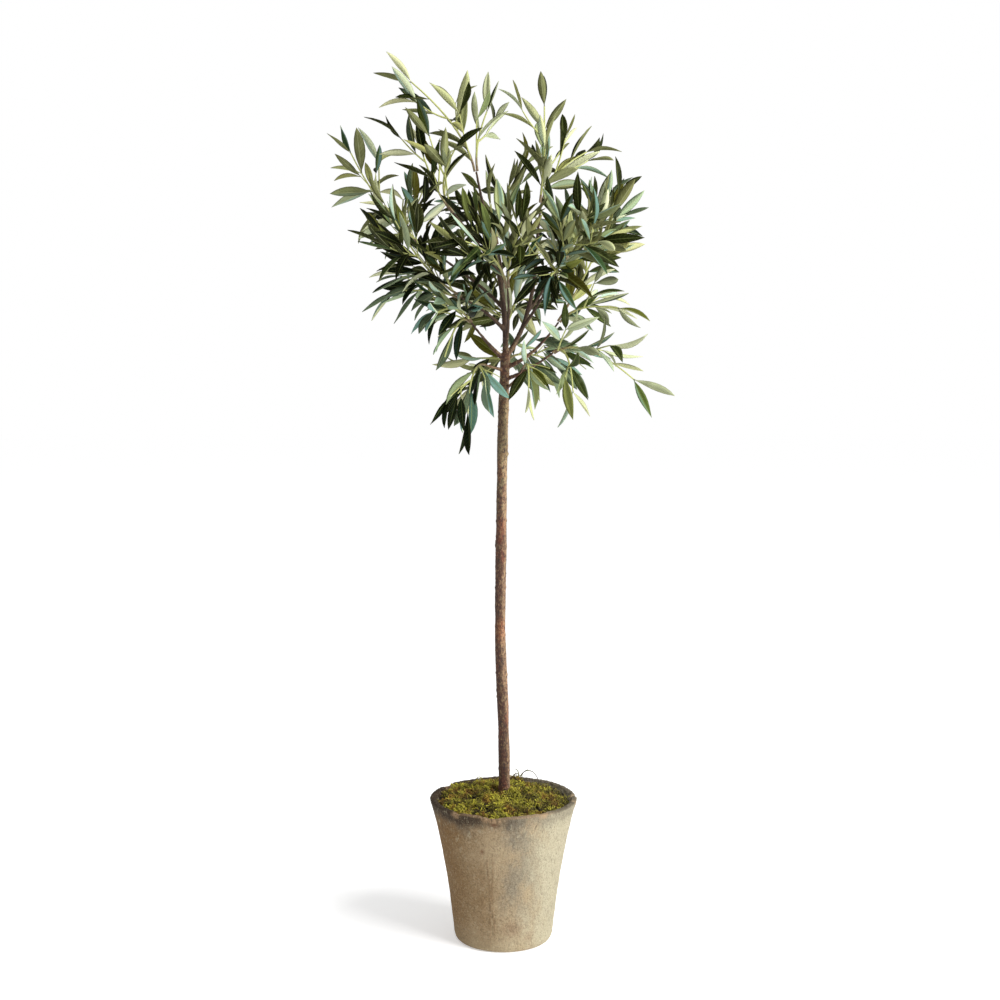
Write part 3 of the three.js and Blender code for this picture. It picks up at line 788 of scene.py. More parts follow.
def named(net, label, kind="FLOAT"):
    """A value that the points carry."""
    return net.node("GeometryNodeInputNamedAttribute", {"data_type": kind}, {"Name": label})


def set_out(net, points, shelf, which, turn, size):
    """A shape from a shelf on each point."""
    shapes = net.node("GeometryNodeCollectionInfo", None, {
        "Collection": shelf, "Separate Children": True, "Reset Children": True})
    return net.node("GeometryNodeInstanceOnPoints", None, {
        "Points": points, "Instance": shapes, "Pick Instance": True, "Instance Index": which,
        "Rotation": turn, "Scale": size})


def end_tree(net, geometry, smooth, *coats):
    """The end of every tree: one real mesh, with each material where its selection is."""
    real = net.node("GeometryNodeRealizeInstances", None, {0: geometry})
    done = net.node("GeometryNodeSetShadeSmooth", None, {0: real, "Shade Smooth": smooth})
    for selection, material in coats:
        done = net.node("GeometryNodeSetMaterial", None, {
            0: done, "Selection": selection, "Material": material})
    net.node("NodeGroupOutput", None, {0: done})


def mesh_of(name, points, edges=(), faces=(), **attributes):
    """A mesh with named values on its points: numbers, or vectors of three."""
    mesh = bpy.data.meshes.new(name)
    mesh.from_pydata([tuple(point) for point in points], list(edges), list(faces))
    for label, values in attributes.items():
        values = np.array(values, dtype=float)
        kind = "FLOAT_VECTOR" if values.ndim == 2 else "FLOAT"
        data = mesh.attributes.new(label, kind, "POINT").data
        data.foreach_set("vector" if values.ndim == 2 else "value", values.ravel())
    return mesh


def settled(piece):
    """The piece with what its modifiers make kept as its plain mesh, and the modifiers gone."""
    graph = bpy.context.evaluated_depsgraph_get()
    mesh = bpy.data.meshes.new_from_object(
        piece.evaluated_get(graph), preserve_all_data_layers=True, depsgraph=graph)
    piece.modifiers.clear()
    piece.data = mesh
    mesh.name = piece.name
    return piece


def baked(name, start, net, **values):
    """What a tree makes of a start mesh, as a plain piece at the origin."""
    piece = placed(name, start)
    made = piece.modifiers.new("made", "NODES")
    made.node_group = net.tree
    for item in net.tree.interface.items_tree:
        label = item.name.lower().replace(" ", "_")
        if item.item_type == "SOCKET" and item.in_out == "INPUT" and label in values:
            made[item.identifier] = values[label]
    return settled(piece)


print("tree helpers ready")

# %% Tubes round lines


def tube_net():
    net, entry = geometry_net("tubes round lines", [
        ("Sides", "NodeSocketInt", 6), ("Material", "NodeSocketMaterial", None)])
    line = net.node("GeometryNodeMeshToCurve", None, {0: entry})
    ring = net.node("GeometryNodeCurvePrimitiveCircle", None, {
        "Resolution": entry.also("Sides"), "Radius": 1.0})
    tube = net.node("GeometryNodeCurveToMesh", None, {
        "Curve": line, "Profile Curve": ring, "Scale": named(net, "radius"), "Fill Caps": True})
    end_tree(net, tube, True, (True, entry.also("Material")))
    return net


def line_mesh(name, lines, **attributes):
    """Lines as edges: each is its points and a radius at each, in millimetres."""
    points, radii, edges = [], [], []
    for way, radius in lines:
        edges += [(len(points) + i, len(points) + i + 1) for i in range(len(way) - 1)]
        points += [point * MM for point in way]
        radii += [value * MM for value in radius]
    return mesh_of(name, points, edges, radius=radii, **attributes)


TUBES = tube_net()
print("tube tree:", len(TUBES.tree.nodes), "nodes")

# %% [markdown]
# The stems are pale yellow-green at their tips and turn brown towards the boughs, so the twigs'
# material mixes two colours by the age that the lines carry.

# %% Twigs
TWIG_SIDES = 6
TWIG_STEPS = {"stem": 12, "side": 7}
TWIG_AGE = {"stem": 1.0, "side": 0.35}
TWIG_SWELL = 1.25
TWIG_YOUNG = (170, 174, 104)
TWIG_LOOKS = {"old": (1.0, (104, 82, 58)), "flecks": (0.35, (186, 186, 130))}
TWIG_NOISES = {"grain": (300.0, 3.0), "patches": (45.0, 2.0)}


def twig_material():
    material, net = new_material("twig, green to brown")
    grain, patches = net.noises(net.object_place(), TWIG_NOISES)
    colour = net.layered(TWIG_YOUNG, TWIG_LOOKS, {
        "old": (net.attribute("age") * 1.3 + (patches - 0.5) * 0.5).between(0.5, 1.25),
        "flecks": grain.between(0.5, 0.75),
    })
    net.surface(base_color=colour, roughness=0.55, normal=net.bump(grain, 0.4, 0.0006))
    return material


def twig_lines(twigs):
    """The lines of the twigs, and the age at each of their points."""
    lines, ages = [], []
    for twig in twigs:
        foot, tip = twig.kind["foot"], twig.kind["tip"]
        grade = "stem" if twig.kind is STEM else "side"
        parts = np.linspace(0, 1, TWIG_STEPS[grade])
        radius = [lerp(foot, tip, part) * TWIG_SWELL for part in parts]
        lines.append(([twig.bend.point(part) for part in parts], radius))
        ages += [TWIG_AGE[grade] * (1 - part) for part in parts]
    return lines, ages


def shown(piece, nodes):
    """Attaches a finished piece to the root body and hides the solids it stands for."""
    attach(piece, "root")
    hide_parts(*nodes)
    print(piece.name, len(piece.data.polygons), "faces")


lines, ages = twig_lines([twig for spray in sprays for twig in spray.twigs])
twigs = baked("twigs", line_mesh("twig_lines", lines, age=ages), TUBES,
              sides=TWIG_SIDES, material=twig_material())
shown(twigs, leaf_nodes)

# %% [markdown]
# ## Leaves
#
# A leaf of such a tree is stamped cloth with a waxy face: a narrow lens with a short stalk, folded a
# little along its midrib, and bent one way or another. Six bent shapes are made in code as thin
# closed meshes of a few dozen faces. Geometry Nodes then put one on each leaf's place, turned by the
# two directions that the rule gave it. The upper side and the underside are two materials, because
# the one is dark and glossy and the other pale and dull.

# %% Leaf shapes
LEAF_ROWS = 9
LEAF_COLUMNS = (-1, -0.5, 0, 0.5, 1)
LEAF_RING = (0, 1, 2, 3, 4, 7, 6, 5)
LEAF_STALK = 0.07
STALK_HALF = 0.055
LEAF_FULLNESS = 0.8
LEAF_SKEW = 0.98
LEAF_NARROWEST = 0.012
LEAF_FOLD = 0.28
LEAF_CURL = 0.14
LEAF_ROLL = 0.2
LEAF_THICK = 0.008
RIB_THICK = 0.0128
LEAF_SHAPES = {
    "straight": {"bend": -0.03, "sweep": 0.02, "twist": 0.1},
    "arched": {"bend": -0.2, "sweep": 0.07, "twist": -0.3},
    "raised": {"bend": 0.14, "sweep": -0.06, "twist": 0.4},
    "swept": {"bend": -0.08, "sweep": 0.2, "twist": 0.5},
    "hooked": {"bend": -0.3, "sweep": -0.1, "twist": -0.5},
    "turned": {"bend": 0.06, "sweep": -0.17, "twist": 0.9},
}


def half_width(part):
    """Half of the blade's width at a share of its length, where the whole width is 1."""
    if part <= LEAF_STALK:
        return STALK_HALF
    blade = (part - LEAF_STALK) / (1 - LEAF_STALK)
    return max(0.5 * math.sin(math.pi * blade ** LEAF_SKEW) ** LEAF_FULLNESS, LEAF_NARROWEST)


def leaf_point(part, column, under, bend, sweep, twist):
    half = half_width(part)
    aside = half * column
    up = half * (LEAF_FOLD * abs(column) - LEAF_CURL * column ** 2)
    if under:
        up -= RIB_THICK if column == 0 else LEAF_THICK
    turn = twist * part ** 2
    return (
        aside * math.cos(turn) + sweep * part ** 2,
        part,
        up + aside * math.sin(turn) * LEAF_ROLL + bend * part ** 2,
    )


def leaf_shape(name, bends, shelf):
    """A closed thin blade along +Y, its upper side to +Z, one unit long and one wide."""
    upper = [(column, False) for column in LEAF_COLUMNS]
    under = [(column, True) for column in LEAF_COLUMNS[1:-1]]
    parts = [0, LEAF_STALK, *np.linspace(LEAF_STALK, 1, LEAF_ROWS - 1)[1:]]
    cells = [(part, *cell) for part in parts for cell in upper + under]
    around, half = len(LEAF_RING), len(LEAF_RING) // 2
    faces = []
    for first in range(0, len(cells) - around, around):
        for this, after in zip(LEAF_RING, (*LEAF_RING[1:], LEAF_RING[0])):
            low, high = first + this, first + after
            faces.append((low, high, high + around, low + around))
    below = [i % around >= half for i in range(len(faces))] + [False, False]
    last = len(cells) - around
    faces += [LEAF_RING[::-1], tuple(last + this for this in LEAF_RING)]
    mesh = mesh_of(name, [leaf_point(*cell, **bends) for cell in cells], faces=faces)
    mesh.attributes.new("under", "BOOLEAN", "FACE").data.foreach_set("value", below)
    layer = mesh.uv_layers.new(name="UVMap")
    for loop in mesh.loops:
        part, column, _ = cells[loop.vertex_index]
        layer.data[loop.index].uv = (0.5 + 0.5 * column, part)
    placed(name, mesh, shelf)


shelf = bpy.data.collections.new("leaf shapes")
for name, bends in LEAF_SHAPES.items():
    leaf_shape(name, bends, shelf)

# %% [markdown]
# Four tints are dealt out by spray: deep green, blue-green, olive, and a sun-bleached sage. Within a
# tint each leaf has a tone of its own, from nearly black to pale, and some of the lighter ones are
# bluish or yellowish. Some also carry a painted highlight, a cool sheen along one half. The midrib
# is paler, the edge is browner, and both sides have faint slanting veins.

# %% Leaf materials
TINTS = {
    "deep": {"upper": (16, 34, 4), "under": (86, 94, 40), "pale": (104, 120, 68),
             "roughness": 0.4, "shadow": 0.94},
    "sea": {"upper": (24, 54, 32), "under": (146, 170, 132), "pale": (140, 182, 168),
            "roughness": 0.3, "shadow": 0.84},
    "olive": {"upper": (56, 66, 14), "under": (170, 174, 116), "pale": (184, 190, 132),
              "roughness": 0.45, "shadow": 0.78},
    "sage": {"upper": (86, 102, 46), "under": (214, 222, 176), "pale": (218, 226, 188),
             "roughness": 0.5, "shadow": 0.7},
}
WAXY_SIDE = {"rib": (134, 146, 84), "vein_depth": 0.25}
DULL_SIDE = {"rib": (196, 200, 150), "vein_depth": 0.4, "pale": (214, 218, 182), "roughness": 0.62}
DULL_LIGHTER = 0.14
LEAF_LOOKS = {
    "dark": (1.0, (9, 13, 1)),
    "bluish": (0.34, (44, 92, 72)),
    # the sheen is a painted highlight, a cool reflection on one half of a leaf
    "painted_sheen": (0.5, (140, 178, 172)),
    "yellowish": (0.32, (146, 134, 42)),
    "edge": (0.3, (92, 72, 40)),
}
VEINS = {"count": 70, "slant": 9}
HUES_IN_TONE = 9


def leaf_material(name, colour, pale, rib, roughness, vein_depth, shadow):
    material, net = new_material(name)
    across_leaf, along, _ = net.axes(net.node("ShaderNodeUVMap", {"uv_map": "UVMap"}))
    from_rib = (across_leaf - 0.5).math("ABSOLUTE") * 2
    on_rib = from_rib.between(0.13, 0.03)
    veins = (along * VEINS["count"] - from_rib * VEINS["slant"]).math("SINE").between(0.2, 1.0)
    veins = veins * (1 - on_rib)
    mottle = net.noise(net.object_place(), 55.0, 3.0)
    tone = net.attribute("tone")
    hue = (tone * HUES_IN_TONE).math("FRACT")
    light = tone.between(0.3, 0.7)
    dark = tone.between(0.78, 0.38) * shadow + mottle.between(0.62, 0.3) * 0.08
    one_half = across_leaf.between(0.5, 0.64) * across_leaf.between(1.0, 0.86)
    looks = {**LEAF_LOOKS, "pale": (1.0, pale), "veins": (1.0, rib), "rib": (1.0, rib)}
    shade = net.layered(colour, looks, {
        "dark": dark,
        "pale": tone.between(0.64, 0.9) * 0.82 + mottle.between(0.55, 0.8) * 0.06,
        "bluish": hue.between(0.68, 0.82) * light,
        # painted highlight along one half of some lighter leaves
        "painted_sheen": one_half * hue.between(0.5, 0.75) * light,
        "yellowish": hue.between(0.34, 0.12) * light,
        "edge": from_rib.between(0.86, 1.0),
        "veins": veins * (0.1 - dark * 0.07),
        "rib": on_rib * (0.55 - dark * 0.3),
    })
    height = veins * 0.35 + mottle * 0.5
    net.surface(base_color=shade, roughness=roughness + mottle * 0.12, specular_ior_level=0.04,
                normal=net.bump(height, vein_depth, 0.0012))
    return material


def leaf_pair(tint):
    look = TINTS[tint]
    waxy = leaf_material(f"{tint} leaf, waxy side", look["upper"], look["pale"],
                         roughness=look["roughness"], shadow=look["shadow"], **WAXY_SIDE)
    dull = leaf_material(f"{tint} leaf, dull side", look["under"],
                         shadow=look["shadow"] - DULL_LIGHTER, **DULL_SIDE)
    return waxy, dull


print("tints:", list(TINTS))

# %% Leaves by Geometry Nodes
LEAF_BROADER = 1.12
TONE_SEED = 12


def leaf_net():
    net, entry = geometry_net("leaves on their places", [
        ("Shapes", "NodeSocketCollection", None), ("Upper side", "NodeSocketMaterial", None),
        ("Underside", "NodeSocketMaterial", None)])
    turn = net.node("FunctionNodeAxesToRotation", {"primary_axis": "Y", "secondary_axis": "Z"}, {
        0: named(net, "along", "FLOAT_VECTOR"), 1: named(net, "face", "FLOAT_VECTOR")})
    leaves = set_out(net, entry, entry.also("Shapes"), named(net, "shape", "INT"), turn,
                     named(net, "size", "FLOAT_VECTOR"))
    end_tree(net, leaves, True, (True, entry.also("Upper side")),
             (named(net, "under", "BOOLEAN"), entry.also("Underside")))
    return net


def leaf_points(name, leaves):
    draws = Draws(TONE_SEED)
    rows = {"along": [], "face": [], "size": [], "tone": [], "shape": []}
    for leaf in leaves:
        rows["along"].append(leaf["out"])
        rows["face"].append(leaf["face"])
        width, length = leaf["width"] * LEAF_BROADER * MM, leaf["length"] * MM
        rows["size"].append((width, length, length))
        rows["tone"].append(draws.next())
        rows["shape"].append(int(draws.next() * len(LEAF_SHAPES)))
    return mesh_of(name, [leaf["root"] * MM for leaf in leaves], **rows)


LEAVES = leaf_net()
for tint in TINTS:
    dealt = [spray for spray in sprays if spray.tint == tint]
    waxy, dull = leaf_pair(tint)
    start = leaf_points(f"{tint}_leaf_places", [leaf for spray in dealt for leaf in spray.leaves])
    piece = baked(f"leaves_{tint}_green", start, LEAVES, shapes=shelf, upper_side=waxy,
                  underside=dull)
    shown(piece, [f"leaves_{spray.name}" for spray in dealt])

# %% [markdown]
# ## Trunk and boughs
#
# Limbs that are wired together and wrapped look grown as one, so their tubes are joined by a voxel
# remesh, which rounds the forks, and then eased a little. After that every point moves along its
# normal: shallow bark ridges that run along the limb, and small nodules where old twigs were cut.

# %% One skin for the limbs
LIMB_SIDES = 14
LIMB_STEPS = {"trunk": 90, "bough": 24}
LIMB_VOXEL = 0.00135
LIMB_EASE = 5
LIMB_TIP_RADIUS = 2.0
LIMB_TIP_PART = 0.2
KEEP_THICK = ("trunk", "leader", "middle")
BOUGH_SLIMNESS = 0.88


def limb_lines():
    """The limbs' lines: boughs slimmer than their solids, and thin at their tips."""
    lines = []
    for name, (curve, radius) in limbs.items():
        steps = LIMB_STEPS["trunk" if name == "trunk" else "bough"]
        slim = 1 if name == "trunk" else BOUGH_SLIMNESS
        parts = np.linspace(0, 1, steps)
        sizes = []
        for part in parts:
            taper = max(part - LIMB_TIP_PART, 0) / (1 - LIMB_TIP_PART)
            thin = 0 if name in KEEP_THICK else taper
            sizes.append(lerp(radius(part) * slim, LIMB_TIP_RADIUS, thin))
        lines.append(([curve.point(part) for part in parts], sizes))
    return lines


def skinned(piece):
    remesh = piece.modifiers.new("one skin", "REMESH")
    remesh.mode = "VOXEL"
    remesh.voxel_size = LIMB_VOXEL
    piece.modifiers.new("eased", "SMOOTH").iterations = LIMB_EASE
    return settled(piece)


limb_piece = skinned(baked("trunk_and_boughs", line_mesh("limb_lines", limb_lines()), TUBES,
                           sides=LIMB_SIDES, material=None))
print("skin of the limbs:", len(limb_piece.data.vertices), "points")

# %% Bark relief
RIDGES = {"height": 0.5, "scale": (150.0, 150.0, 28.0)}
CREASES = {"height": 0.3, "scale": 320.0, "offset": 7.0}
NODULES = {"count": 150, "seed": 11, "size": (1.4, 3.2), "height": 0.4, "lowest": 0.02}
LEFT_SHADE = {"middle": 0.5, "left": 0.75, "patches": 0.7, "scale": (60.0, 60.0, 25.0), "offset": 13.0}


def points_of(mesh):
    """The places and normals of a mesh's points."""
    both = []
    for label in ("co", "normal"):
        values = np.empty(len(mesh.vertices) * 3)
        mesh.vertices.foreach_get(label, values)
        both.append(values.reshape(-1, 3))
    return both


def move_points(mesh, points):
    mesh.vertices.foreach_set("co", points.ravel())
    mesh.update()


def keep_values(mesh, **values):
    """Stores numbers from 0 to 1 for each point, for a material or a tree to read."""
    for name, numbers in values.items():
        data = mesh.attributes.new(name, "FLOAT", "POINT").data
        data.foreach_set("value", np.clip(numbers, 0, 1))


def noise_at(points, scale, offset=0.0):
    scale = np.array(scale)
    return np.array([noise.noise(Vector(point)) for point in points * scale + offset])


def bark_relief(mesh):
    points, normals = points_of(mesh)
    push = RIDGES["height"] * noise_at(points, RIDGES["scale"])
    push += CREASES["height"] * noise_at(points, CREASES["scale"], CREASES["offset"])
    draws = Draws(NODULES["seed"])
    trunk = limbs["trunk"][0]
    for _ in range(NODULES["count"]):
        part, turn = draws.between(NODULES["lowest"], 1), draws.between(0, 2 * math.pi)
        out = np.array((math.cos(turn), math.sin(turn), 0))
        centre = (trunk.point(part) + out * trunk_radius(part)) * MM
        size = draws.between(*NODULES["size"])
        off = np.linalg.norm(points - centre, axis=1) / (size * MM)
        push += NODULES["height"] * size * np.exp(-(off ** 2))
    move_points(mesh, points + normals * push[:, None] * MM)
    # The value named damp is painted shade: it grows where the bark faces left, away from the lamp,
    # and in patches.
    patches = noise_at(points, LEFT_SHADE["scale"], LEFT_SHADE["offset"])
    keep_values(mesh, damp=LEFT_SHADE["middle"] - LEFT_SHADE["left"] * normals[:, 0] + LEFT_SHADE["patches"] * patches)


bark_relief(limb_piece.data)
print("nodules on the trunk:", NODULES["count"])

# %% [markdown]
# The bark is mottled brown and redder over its lower half, with lichen high on the trunk, a rusty
# band near its middle, pale flakes and dark cracks. The rest is painted light and shade: the left
# side, away from the lamp, is darker in patches, the right side is paler with more pale flakes,
# and the limbs in the crown are darker and redder. The height on the trunk, in metres, sets where
# many of the layers lie.

# %% Bark material
BARK_STOPS = [
    (0.32, (34, 22, 18)), (0.43, (74, 40, 24)), (0.5, (102, 66, 38)), (0.56, (88, 76, 54)),
    (0.66, (138, 120, 86)),
]
BARK_CRACK = (36, 22, 18)
BARK_LOOKS = {
    "lichen": (0.6, (136, 128, 86)),
    "reddish_and_crown_shade": (1.0, (62, 32, 14)),
    "rust": (0.5, (146, 84, 36)),
    "red": (0.4, (122, 54, 34)),
    # The layers for the left and right sides and for the limbs in the crown are painted shade and
    # light.
    "damp": (0.6, (60, 28, 15)),
    "painted_light_right": (0.28, (194, 158, 122)),
    "flakes_and_lit_side": (1.0, (172, 148, 108)),
    "cracks": (0.9, BARK_CRACK),
    "specks": (0.8, BARK_CRACK),
    "shaded": (0.72, (44, 28, 16)),
}
BARK_NOISES = {
    "broad": (150.0, 4.0, 0.65, 0.6), "fine": (330.0, 4.0, 0.65, 0.6), "specks": (520.0, 2.0),
    "grain": (500.0, 3.0, 0.5, 0.15), "patches": (45.0, 3.0, 0.5, 0.5),
}


def bark_material():
    material, net = new_material("mottled bark")
    place = net.object_place()
    high = net.axes(place)[2]
    broad, fine, specks, grain, patches = net.noises(place, BARK_NOISES)
    damp = net.attribute("damp")
    rusty_band = high.between(0.5, 0.53) * high.between(0.56, 0.54)
    rusty_patches = patches.between(0.54, 0.62) * 0.4 * high.between(0.3, 0.5)
    colour = net.node("ShaderNodeValToRGB", {"stops": BARK_STOPS}, {"Fac": broad})
    colour = net.layered(colour, BARK_LOOKS, {
        "lichen": high.between(0.7, 0.78) * high.between(0.97, 0.9) * patches.between(0.35, 0.55),
        # redder over the lower half; above the fork this layer and the last one are painted shade of
        # the crown
        "reddish_and_crown_shade": high.between(0.76, 0.62) * 0.64 + high.between(0.98, 1.06) * 0.75,
        "rust": rusty_band + rusty_patches,
        "red": patches.between(0.5, 0.6) * high.between(0.95, 0.8),
        # painted shade on the left side; painted light on the right side, with more flakes there
        "damp": damp,
        "painted_light_right": damp.between(0.4, 0.0),
        "flakes_and_lit_side": fine.between(0.53, 0.65) * (0.32 + damp.between(0.5, 0.0) * 0.24),
        "cracks": fine.between(0.48, 0.36),
        "specks": specks.between(0.56, 0.68),
        "shaded": high.between(0.99, 1.04),
    })
    height = fine * 0.6 + grain * 0.4
    net.surface(base_color=colour, roughness=0.7 + fine * 0.15,
                normal=net.bump(height, 0.7, 0.0015))
    return material


limb_piece.data.materials.clear()
limb_piece.data.materials.append(bark_material())
limb_piece.data.shade_smooth()
shown(limb_piece, limb_nodes)

# %% [markdown]
# ## Pot
#
# The pot is thrown clay with a thick, uneven lip that has lost a few chips, and a chalky, smoke
# stained skin. A lathe would be too even, so the profile is turned in code with many rings, and each
# point is then moved: slow waves in the wall, a dipping lip, chips with broken faces, three runs of
# slip on the front, and small pits. Named values on the points carry the stains to the material.

# %% Pot shape
POT_HEIGHT = 245
POT_WALL = 14
POT_FLOOR = 18
POT_FLOOR_FLAT = 50
POT_FOOT_RADIUS = 83.5
POT_FOOT_ROUND = 7
POT_FOOT_RINGS = 7
POT_LIP_RADIUS = 126.5
POT_FLARE = 2.5
POT_STRAIGHT_SHARE = 0.6
POT_SIDES = 400
POT_RINGS = 96
POT_INSIDE_RINGS = 30
UNDERSIDE_PARTS = (0, 0.3, 0.6, 0.85)
LIP_ROUND = 3
LIP_WALL = 9.5
LIP_THINNED = 34
LIP_RINGS = 12


def pot_radius(height):
    part = height / POT_HEIGHT
    bend = POT_STRAIGHT_SHARE * part + (1 - POT_STRAIGHT_SHARE) * abs(part) ** POT_FLARE
    return lerp(POT_FOOT_RADIUS, POT_LIP_RADIUS, bend)


def wall_at(height):
    """The wall thins towards the lip, on its inside."""
    return lerp(POT_WALL, LIP_WALL, min(max(1 - (POT_HEIGHT - height) / LIP_THINNED, 0), 1))


def pot_profile():
    """Radius and height from the middle of the underside, up the wall, over the lip, and down."""
    way = [(POT_FOOT_RADIUS * part, 0) for part in UNDERSIDE_PARTS]
    for turn in np.linspace(0, math.pi / 2, POT_FOOT_RINGS):
        reach = POT_FOOT_RADIUS - POT_FOOT_ROUND * (1 - math.sin(turn))
        way.append((reach, POT_FOOT_ROUND * (1 - math.cos(turn))))
    lip = POT_HEIGHT - LIP_ROUND
    way += [(pot_radius(height), height) for height in np.linspace(POT_FOOT_ROUND, lip, POT_RINGS)[1:]]
    half = wall_at(lip) / 2
    middle = pot_radius(lip) - half
    for turn in np.linspace(0, math.pi, LIP_RINGS + 1)[1:]:
        way.append((middle + half * math.cos(turn), POT_HEIGHT - LIP_ROUND * (1 - math.sin(turn))))
    for height in np.linspace(lip, POT_FLOOR, POT_INSIDE_RINGS)[1:]:
        way.append((pot_radius(height) - wall_at(height), height))
    return np.array(way + [(POT_FLOOR_FLAT, POT_FLOOR), (0, POT_FLOOR)])


def turned(name, profile, sides):
    """A closed shape turned from a profile that starts and ends on the axis."""
    angles = np.arange(sides) * 2 * math.pi / sides
    rings = profile[1:-1]
    points = [(0, 0, profile[0][1])]
    for reach, height in rings:
        points += [(reach * math.cos(a), reach * math.sin(a), height) for a in angles]
    points.append((0, 0, profile[-1][1]))
    faces = []
    for i in range(sides):
        j = (i + 1) % sides
        faces.append((0, 1 + j, 1 + i))
        for ring in range(len(rings) - 1):
            low, high = 1 + ring * sides, 1 + (ring + 1) * sides
            faces.append((low + i, low + j, high + j, high + i))
        last = 1 + (len(rings) - 1) * sides
        faces.append((last + i, last + j, len(points) - 1))
    return mesh_of(name, np.array(points) * MM, faces=faces)


pot_piece = placed("pot_of_clay", turned("pot_of_clay", pot_profile(), POT_SIDES))
print("pot points:", len(pot_piece.data.vertices))

# %% Pot relief
WALL_NORMAL_MOST = 0.9
WALL_LOWEST = 2
WALL_WAVES = [(0.55, 0.018, 0.0), (0.4, 0.06, 3.0), (0.26, (0.34, 0.34, 0.24), 9.0)]
OUTER_DEPTH = 4
RUNS = [(-104, 0.45, 1.3), (-100.5, 0.4, 1.0), (-112, 2.4, 0.3)]
RUN_RISES = (12, 24)
RUN_FADES = (158, 188)
RUN_SWAY = {"degrees": 0.9, "per_mm": 0.05}
RUN_STAIN_WIDER = 1.6
PITS = [(-40, 74, 1.6, 0.9), (-43, 70, 1.3, 0.7), (-72, 148, 2.0, 0.8), (-109, 180, 3.2, 0.7),
        (-84, 228, 3.4, -0.6), (-118, 120, 1.5, 0.7), (-52, 150, 1.8, 0.8), (-96, 95, 1.2, 0.5)]
STAINS = [(-109, 180, 3.4, 1.0), (-81, 41, 15, 0.5), (-60, 25, 9, 0.35), (-97, 233, 7, 0.8)]
CHIPS = [(-99, 8, 2.8), (-129, 4, 3.2), (143, 7, 3.2), (-12, 3, 4.5), (5, 3, 4.0), (-58, 4, 1.2)]
CHIPPED = {"from": 234, "to": 241, "ragged": 0.5, "scale": 0.5, "offset": 5.0}
LIP_RAGGED = {"from": 232, "to": 240, "height": 1.0, "scale": 0.3, "offset": 17.0}
LIP_WORN_HEIGHT = 24
LIP_WAVES = {"height": 1, "threefold": 0.6, "sevenfold": 0.4}
LIP_NICKS = {"depth": 3.2, "rare": 0.2, "scale": 0.22, "offset": 31.0}


def smooth_step(values, low, high):
    part = np.clip((values - low) / (high - low), 0, 1)
    return part * part * (3 - 2 * part)


def turn_off(angles, degrees):
    """How far each angle is from a given one, in degrees."""
    return (np.degrees(angles) - degrees + 180) % 360 - 180


def spots(rows, angles, heights, around):
    """Round marks with soft edges: each has an angle, a height, a size and a strength."""
    total = np.zeros(len(angles))
    for at, high, size, strength in rows:
        aside = np.radians(turn_off(angles, at)) * around
        total += strength * np.exp(-((np.hypot(aside, heights - high) / size) ** 2))
    return total


def run_of_slip(angles, heights, at, width):
    """1 along the middle of a run, which sways a little on its way down."""
    sway = RUN_SWAY["degrees"] * np.sin(heights * RUN_SWAY["per_mm"] + at)
    return np.exp(-((turn_off(angles, at + sway) / width) ** 2))


def wall_relief(points, normals, angles, heights):
    """How far each point of the wall is pushed out, and the marks of runs and stains."""
    sloping = (normals[:, 2] < WALL_NORMAL_MOST) & (heights > WALL_LOWEST)
    waves = sum(height * noise_at(points, scale, offset) for height, scale, offset in WALL_WAVES)
    push = np.where(sloping, waves, 0)
    around = np.hypot(points[:, 0], points[:, 1])
    outer = around > [pot_radius(max(height, 0)) - OUTER_DEPTH for height in heights]
    on_wall = smooth_step(heights, *RUN_RISES) * (1 - smooth_step(heights, *RUN_FADES)) * outer
    run = np.zeros(len(points))
    for at, width, height in RUNS:
        push += height * run_of_slip(angles, heights, at, width) * on_wall
        run += min(height, 1) * run_of_slip(angles, heights, at, RUN_STAIN_WIDER * width) * on_wall
    push -= spots(PITS, angles, heights, around) * outer
    rags = noise_at(points, LIP_RAGGED["scale"], LIP_RAGGED["offset"])
    push += LIP_RAGGED["height"] * smooth_step(heights, LIP_RAGGED["from"], LIP_RAGGED["to"]) * rags
    return push, run, spots(STAINS, angles, heights, around) * outer


def lip_relief(points, angles, heights):
    """How far each point of the lip sinks, and how much of it is a chip's fresh face."""
    waves = (LIP_WAVES["threefold"] * np.sin(3 * angles + 1)
             + LIP_WAVES["sevenfold"] * np.sin(7 * angles))
    dip = LIP_WAVES["height"] * (1 + waves)
    ragged = 1 + CHIPPED["ragged"] * noise_at(points, CHIPPED["scale"], CHIPPED["offset"])
    chipped = np.zeros(len(points))
    for at, width, depth in CHIPS:
        chip = np.exp(-((turn_off(angles, at) / width * ragged) ** 4))
        dip += depth * chip
        chipped = np.maximum(chipped, chip)
    nicks = noise_at(points, LIP_NICKS["scale"], LIP_NICKS["offset"]) - LIP_NICKS["rare"]
    dip += LIP_NICKS["depth"] * np.maximum(nicks, 0)
    worn = smooth_step(heights, POT_HEIGHT - LIP_WORN_HEIGHT, POT_HEIGHT)
    return worn * dip, chipped * smooth_step(heights, CHIPPED["from"], CHIPPED["to"])


def pot_relief(mesh):
    points, normals = points_of(mesh)
    points = points / MM
    heights = points[:, 2].copy()
    angles = np.arctan2(points[:, 1], points[:, 0])
    push, run, stain = wall_relief(points, normals, angles, heights)
    points = points + normals * push[:, None]
    sunk, chipped = lip_relief(points, angles, heights)
    points[:, 2] -= sunk
    move_points(mesh, points * MM)
    keep_values(mesh, chipped=chipped, run=run, stain=stain)


pot_relief(pot_piece.data)
pot_piece.data.shade_smooth()
print("pot: runs", len(RUNS), "pits", len(PITS), "stains", len(STAINS), "chips", len(CHIPS))
